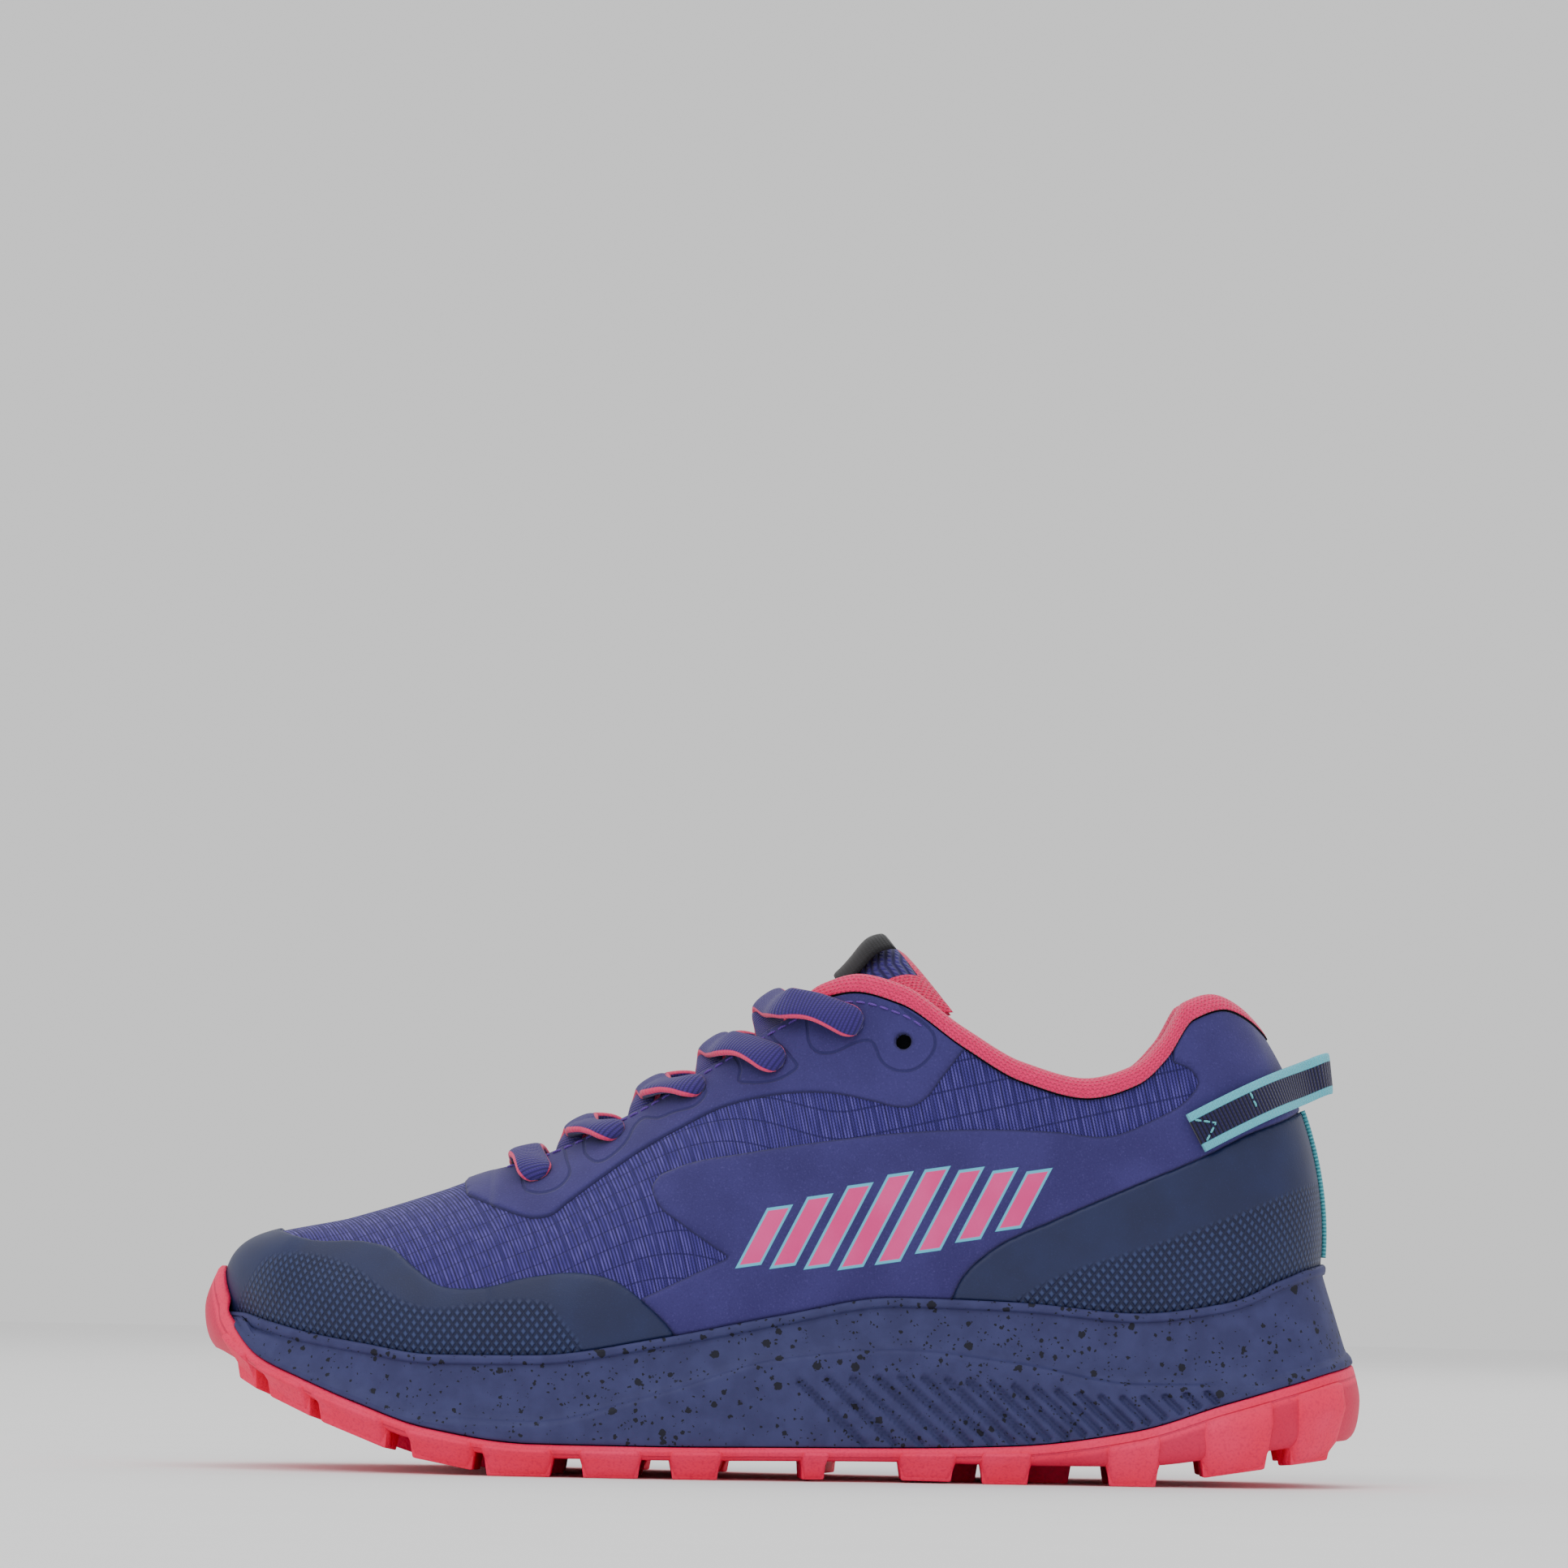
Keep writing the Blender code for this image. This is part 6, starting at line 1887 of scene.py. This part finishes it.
@dataclass
class Lacing:
    """One flat lace: a bar at the toe end, then crossings, each over its eyelet and under the far side."""

    last: Last
    tongue: Tongue
    shell: UpperShell
    width: float = 0.0085
    thick: float = 0.0032
    seat: float = 0.0026
    twist: float = math.radians(24)
    gap: float = 0.0010
    swing: float = 0.40
    lift: tuple[float, ...] = (0.0004, 0.0006, 0.0006, 0.0010, 0.0026)
    crossings: tuple[float, ...] = (0.276, 0.322, 0.383, 0.436, 0.482)
    samples: int = 90
    dive: tuple[tuple[float, float, float], ...] = ((0.0042, 0.0022, 1.2), (0.0030, 0.0009, 0.5))
    end_round: float = 0.0046

    def throat_rib(self, x: float) -> float:
        """Angle of the lateral rib that ends at a place along the throat's edge."""
        theta = np.linspace(float(self.last.angle_of(0.256)), float(self.last.angle_of(0.60)), 200)
        return float(np.interp(x, self.last.skin(theta, np.ones_like(theta))[:, 0], theta))

    def lane(self, hole: int, crossing: float) -> tuple[float, float, float]:
        """Angle and rise of a lateral eyelet, and the angle of the rib where its lace leaves the throat."""
        theta, rise = self.shell.holes[hole]
        start = float(self.last.skin(theta, rise)[0])
        return theta, rise, self.throat_rib(crossing + self.swing * (start - crossing))

    def crown(self, crossing: float, lift: float) -> tuple[Array, Array]:
        """Point and normal over the tongue's middle line."""
        station = float(self.last.station_at(crossing))
        behind, here, ahead = self.tongue.crown(station + np.array([-0.01, 0.0, 0.01]))
        height = here + self.gap + self.thick / 2 + lift
        slope = (ahead - behind) / (0.02 * self.last.length)
        middle = float(self.last.centre(station))
        return np.array([crossing, middle, height]), unit(np.array([-slope, 0.0, 1.0]))

    def arm(self, side: Side, hole: int, crossing: float, lift: float) -> tuple[Array, Array]:
        """Way of a lace from an eyelet, over the throat's edge, to the middle line.

        Args:
            side: The eyelet's side.
            hole: Its number from the toe.
            crossing: X where the lace crosses the middle line.
            lift: Distance that the lace gains on the way.

        Returns:
            Points and normals, the eyelet's first.
        """
        last = self.last
        theta, rise, rib = self.lane(hole, crossing)
        steps = ((theta, rise), (0.5 * (theta + rib), 0.5 * (rise + 1.0)), (rib, 1.0))
        at = [(side.value * t, r) for t, r in steps]
        points = [last.skin_off(t, r, self.seat + lift * k / 2) for k, (t, r) in enumerate(at)]
        normals = [last.skin_frame(t, r)[0] for t, r in at]
        back = unit(points[0] - points[1])
        points = [points[0] + back * far - normals[0] * down for far, down, _ in self.dive] + points
        normals = [unit(normals[0] + back * tip) for _, _, tip in self.dive] + normals
        crown, top = self.crown(crossing, lift)
        ridge = 0.5 * (points[-1] + crown)
        ridge[2] += 0.25 * abs(points[-1][2] - crown[2])
        return np.array(points + [ridge, crown]), np.array(normals + [unit(normals[-1] + top), top])

    def tail(self, side: Side, hole: int, crossing: float) -> tuple[Array, Array]:
        """Way of a lace from the middle line to under the throat's far edge, towards the eyelet in front."""
        last = self.last
        theta, _, rib = self.lane(hole, crossing)
        crown, top = self.crown(crossing, 0.0)
        edge = last.skin_off(side.value * rib, 1.0, -last.wall - 0.0006)
        under = last.skin_off(side.value * (0.7 * rib + 0.3 * theta), 0.93, -last.wall - 0.0014)
        facing = last.skin_frame(side.value * rib, 0.95)[0]
        ridge = 0.5 * (edge + crown)
        ridge[2] += 0.20 * abs(edge[2] - crown[2])
        return np.array([ridge, edge, under]), np.array([unit(top + facing), facing, facing])

    def ribbon(self, points: Array, normals: Array, ends: tuple[bool, bool]) -> Net:
        """Plump flat braid along points; a true end narrows where it turns down into its eyelet."""
        path = curve_through(points, self.samples)
        steps = np.maximum(np.linalg.norm(np.diff(points, axis=0), axis=1), 1e-9)
        knots = np.concatenate([[0.0], np.cumsum(steps)])
        at = np.linspace(0.0, knots[-1], self.samples)
        facing = unit(read_at(at, knots, normals))
        near = np.where(ends[0], at, 1.0)
        near = np.minimum(near, np.where(ends[1], at[-1] - at, 1.0))
        shrink = dome(near / self.end_round)
        scale = np.stack([0.04 + 0.96 * shrink, 0.35 + 0.65 * shrink], -1)
        scale[:, 1] *= 1.0 + 0.04 * np.sin(at / 0.0021)
        along = unit(np.gradient(path, axis=0))
        turn = self.twist * np.sin(np.clip(at / 0.020, 0.0, 1.0) * math.pi)[:, None]
        facing = facing * np.cos(turn) + np.cross(along, facing) * np.sin(turn)
        return sweep(path, facing, flat_oval(self.width, self.thick, 32, 2.3), scale)

    def build(self) -> dict[str, bpy.types.Object]:
        """Makes the bar and the crossings."""
        weave = RibWeave(
            "violet_flat_lace_pink_edges", "#3E2C80", "#241858", 0.85,
            selvedge="#F03C70", selvedge_at=3.95, depth=0.14,
        ).material()
        places = [float(self.last.place(station)) for station in self.crossings]
        (near, facing), (far, beyond) = (self.arm(side, 0, places[0], self.lift[0]) for side in Side)
        bar = self.ribbon(np.vstack([near, far[-2::-1]]), np.vstack([facing, beyond[-2::-1]]), (True, True))
        made = {"lace_bar": bar.make("lace_bar_braid", weave)}
        for k, crossing in enumerate(places[1:], 1):
            ribbons = []
            for side, other, over in (
                (Side.LATERAL, Side.MEDIAL, self.thick * 0.45), (Side.MEDIAL, Side.LATERAL, 0.0),
            ):
                points, normals = self.arm(side, k, crossing, self.lift[k])
                points[-1, 2] += over
                rest, facing = self.tail(other, k - 1, crossing)
                way, facing = np.vstack([points, rest]), np.vstack([normals, facing])
                ribbons.append(self.ribbon(way, facing, (True, False)))
            made[f"lace_cross_{k}"] = merged(ribbons).make(f"lace_cross_braid_{k}", weave)
        return made


@dataclass
class HeelTrim:
    """Braid down the back of the heel, and the webbing pull loop round it with its stitching."""

    last: Last
    out: float = 0.0012
    tape_width: float = 0.0034
    tape_thick: float = 0.0014
    tape_sink: float = 0.0006
    tape_rises: tuple[float, float] = (0.03, 0.66)
    loop_width: float = 0.0100
    loop_thick: float = 0.0014
    hub: float = 0.900
    seam_step: float = 0.0004
    stitch: tuple[float, float, float] = (0.0016, 0.0005, 0.00055)
    seats: tuple[tuple[float, float], ...] = ((0.848, 0.700), (0.870, 0.728), (0.894, 0.757), (0.914, 0.779))
    loop: Table = fixed(table(
        "station side height", (0.944, 0.098, 0.808), (0.962, 0.055, 0.826), (0.968, 0.000, 0.830),
    ))

    def tape(self) -> bpy.types.Object:
        """Turquoise braid."""
        rise = np.linspace(*self.tape_rises, 90)
        theta = np.full_like(rise, math.pi)
        path = self.last.skin_off(theta, rise, self.out - self.tape_sink + self.tape_thick / 2)
        normals, _ = self.last.skin_frame(theta, rise)
        braid = RibWeave("turquoise_braid_tape", "#6CCBD6", "#2A8494", 0.9, depth=0.25).material()
        band = sweep(path, normals, flat_oval(self.tape_width, self.tape_thick, 20))
        return band.make("heel_braid", braid)

    def route(self) -> tuple[Array, Array]:
        """Middle line of the loop and its outward normals: on the upper at both ends, free round the heel."""
        last = self.last
        seat = self.out + 0.0004 + self.loop_thick / 2
        seated = [last.locate(s, h) for s, h in self.seats]
        middle = float(last.centre(1.0))
        sides, faces = [], []
        for turn in (1, -1):
            held = np.array([last.skin_off(turn * t, r, seat) for t, r in seated])
            facing = [last.skin_frame(turn * t, r)[0] for t, r in seated]
            x, z = last.place(self.loop["station"]), last.upper_height * self.loop["height"]
            free = np.column_stack([x, middle - turn * last.ball_width * self.loop["side"], z])
            away = free - [float(last.place(self.hub)), middle, 0.0]
            away[:, 2] = 0.12 * away[:, 0]
            sides.append(np.vstack([held, free]))
            faces.append(np.vstack([facing, away]))
        corners = np.vstack([sides[0], sides[1][-2::-1]])
        normals = unit(np.vstack([faces[0], faces[1][-2::-1]]))
        knots = np.arange(len(corners), dtype=float)
        at = np.linspace(0, len(corners) - 1, 260)
        path, turned = (
            np.column_stack([hermite(knots, rows[:, k], np.gradient(rows[:, k]), at) for k in range(3)])
            for rows in (corners, normals)
        )
        return path, unit(turned)

    def build(self) -> dict[str, bpy.types.Object]:
        """Makes the braid, the loop and the loop's stitches."""
        path, normals = self.route()
        webbing = RibWeave(
            "navy_webbing_turquoise_edges", "#232052", "#0A0920", 1.0,
            selvedge="#62C4D8", selvedge_at=3.0, depth=0.25,
        ).material()
        band = sweep(path, normals, flat_oval(self.loop_width, self.loop_thick, 28, 5.0))
        made = band.make("pull_loop_webbing", webbing)
        thread = Thread("turquoise_thread", "#70D0DC").material()
        sewn = self.stitching(path, normals).make("pull_loop_stitches", thread)
        return {"heel_tape": self.tape(), "pull_loop": made, "pull_loop_stitches": sewn}

    def stitching(self, path: Array, normals: Array) -> Net:
        """A V of stitches at each front end of the loop, and a row across where it leaves the heel."""
        walked = walk(path)
        across = unit(np.cross(unit(np.gradient(path, axis=0)), normals))
        marks = (((1.2, -2.9), (5.4, 0.0), (1.2, 2.9)), ((16.6, -2.9), (16.6, 2.9)))
        rows = []
        for start, way in ((0.0, 1.0), (walked[-1], -1.0)):
            for mark in marks:
                corners = np.array(mark) * MM
                count = 2 + int(walk(corners)[-1] / self.seam_step)
                line = read_at(np.linspace(0, len(corners) - 1, count), np.arange(len(corners)), corners)
                at = start + way * line[:, 0]
                spot, side, facing = (read_at(at, walked, values) for values in (path, across, normals))
                points = spot + side * line[:, 1:] + unit(facing) * (self.loop_thick / 2)
                rows.append(stitches(points, unit(facing), *self.stitch))
        return merged(rows)


@dataclass
class ThroatSeam:
    """Purple stitching that follows the edge of the throat on both sides."""

    last: Last
    film: float = 0.0008
    inset: float = 0.0021
    stations: tuple[float, float] = (0.262, 0.625)
    stitch: tuple[float, float, float] = (0.0024, 0.0006, 0.0006)

    def build(self) -> bpy.types.Object:
        """Stitches at a distance below the top of each rib."""
        rows = []
        rises = np.linspace(0.75, 1.0, 60)
        for side in Side:
            theta = np.linspace(*(float(self.last.angle_of(s)) for s in self.stations), 500)
            grid = self.last.skin(*np.meshgrid(side.value * theta, rises))
            left = walk(grid[::-1])[::-1]
            rise = np.array([np.interp(-self.inset, -left[:, k], rises) for k in range(len(theta))])
            path = self.last.skin_off(side.value * theta, rise, self.film + 0.0001)
            normals, _ = self.last.skin_frame(side.value * theta, rise)
            rows.append(stitches(path, normals, *self.stitch))
        return merged(rows).make("throat_stitches", Thread("violet_thread", "#6A44AE").material())


SLOTS = {
    "outsole": "pink_rubber",
    "midsole": "indigo_foam",
    "insole": "insole_foam",
    "upper": "violet_knit",
    "toe_cap": "navy_film",
    "heel_counter": "navy_film",
    "side_panel_lateral": "indigo_suede",
    "side_panel_medial": "indigo_suede",
    "eyestay": "indigo_suede",
    "collar": "pink_knit",
    "tongue": "tongue_knit",
    "tongue_label": "navy_webbing",
    "lace_bar": "lace_weave",
    **{f"lace_cross_{k}": "lace_weave" for k in range(1, 5)},
    "heel_tape": "turquoise_braid",
    "pull_loop": "navy_webbing",
}


def attach(made: dict[str, bpy.types.Object]) -> None:
    """Lets pieces ride on the shoe, each in the place of the CAD node that it stands for."""
    for node, piece in made.items():
        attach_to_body(piece, "root")
        if node in SLOTS:
            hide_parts(node)
        else:
            "turquoise_braid" if "loop" in node else "lace_weave"
        piece.data.calc_loop_triangles()
        LOG.info("%s: %d triangles", piece.name, len(piece.data.loop_triangles))


def main() -> None:
    """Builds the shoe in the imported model's frame, then the studio."""
    logging.basicConfig(level=logging.INFO, format="%(message)s")
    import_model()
    Studio().build()
    last = Last()
    shell = UpperShell(last)
    tongue = Tongue(last)
    for assembly in (Sole(last), shell, Collar(last), tongue, Lacing(last, tongue, shell), HeelTrim(last)):
        attach(assembly.build())
    attach({"throat_stitches": ThroatSeam(last).build()})


if __name__ == "__main__":
    main()
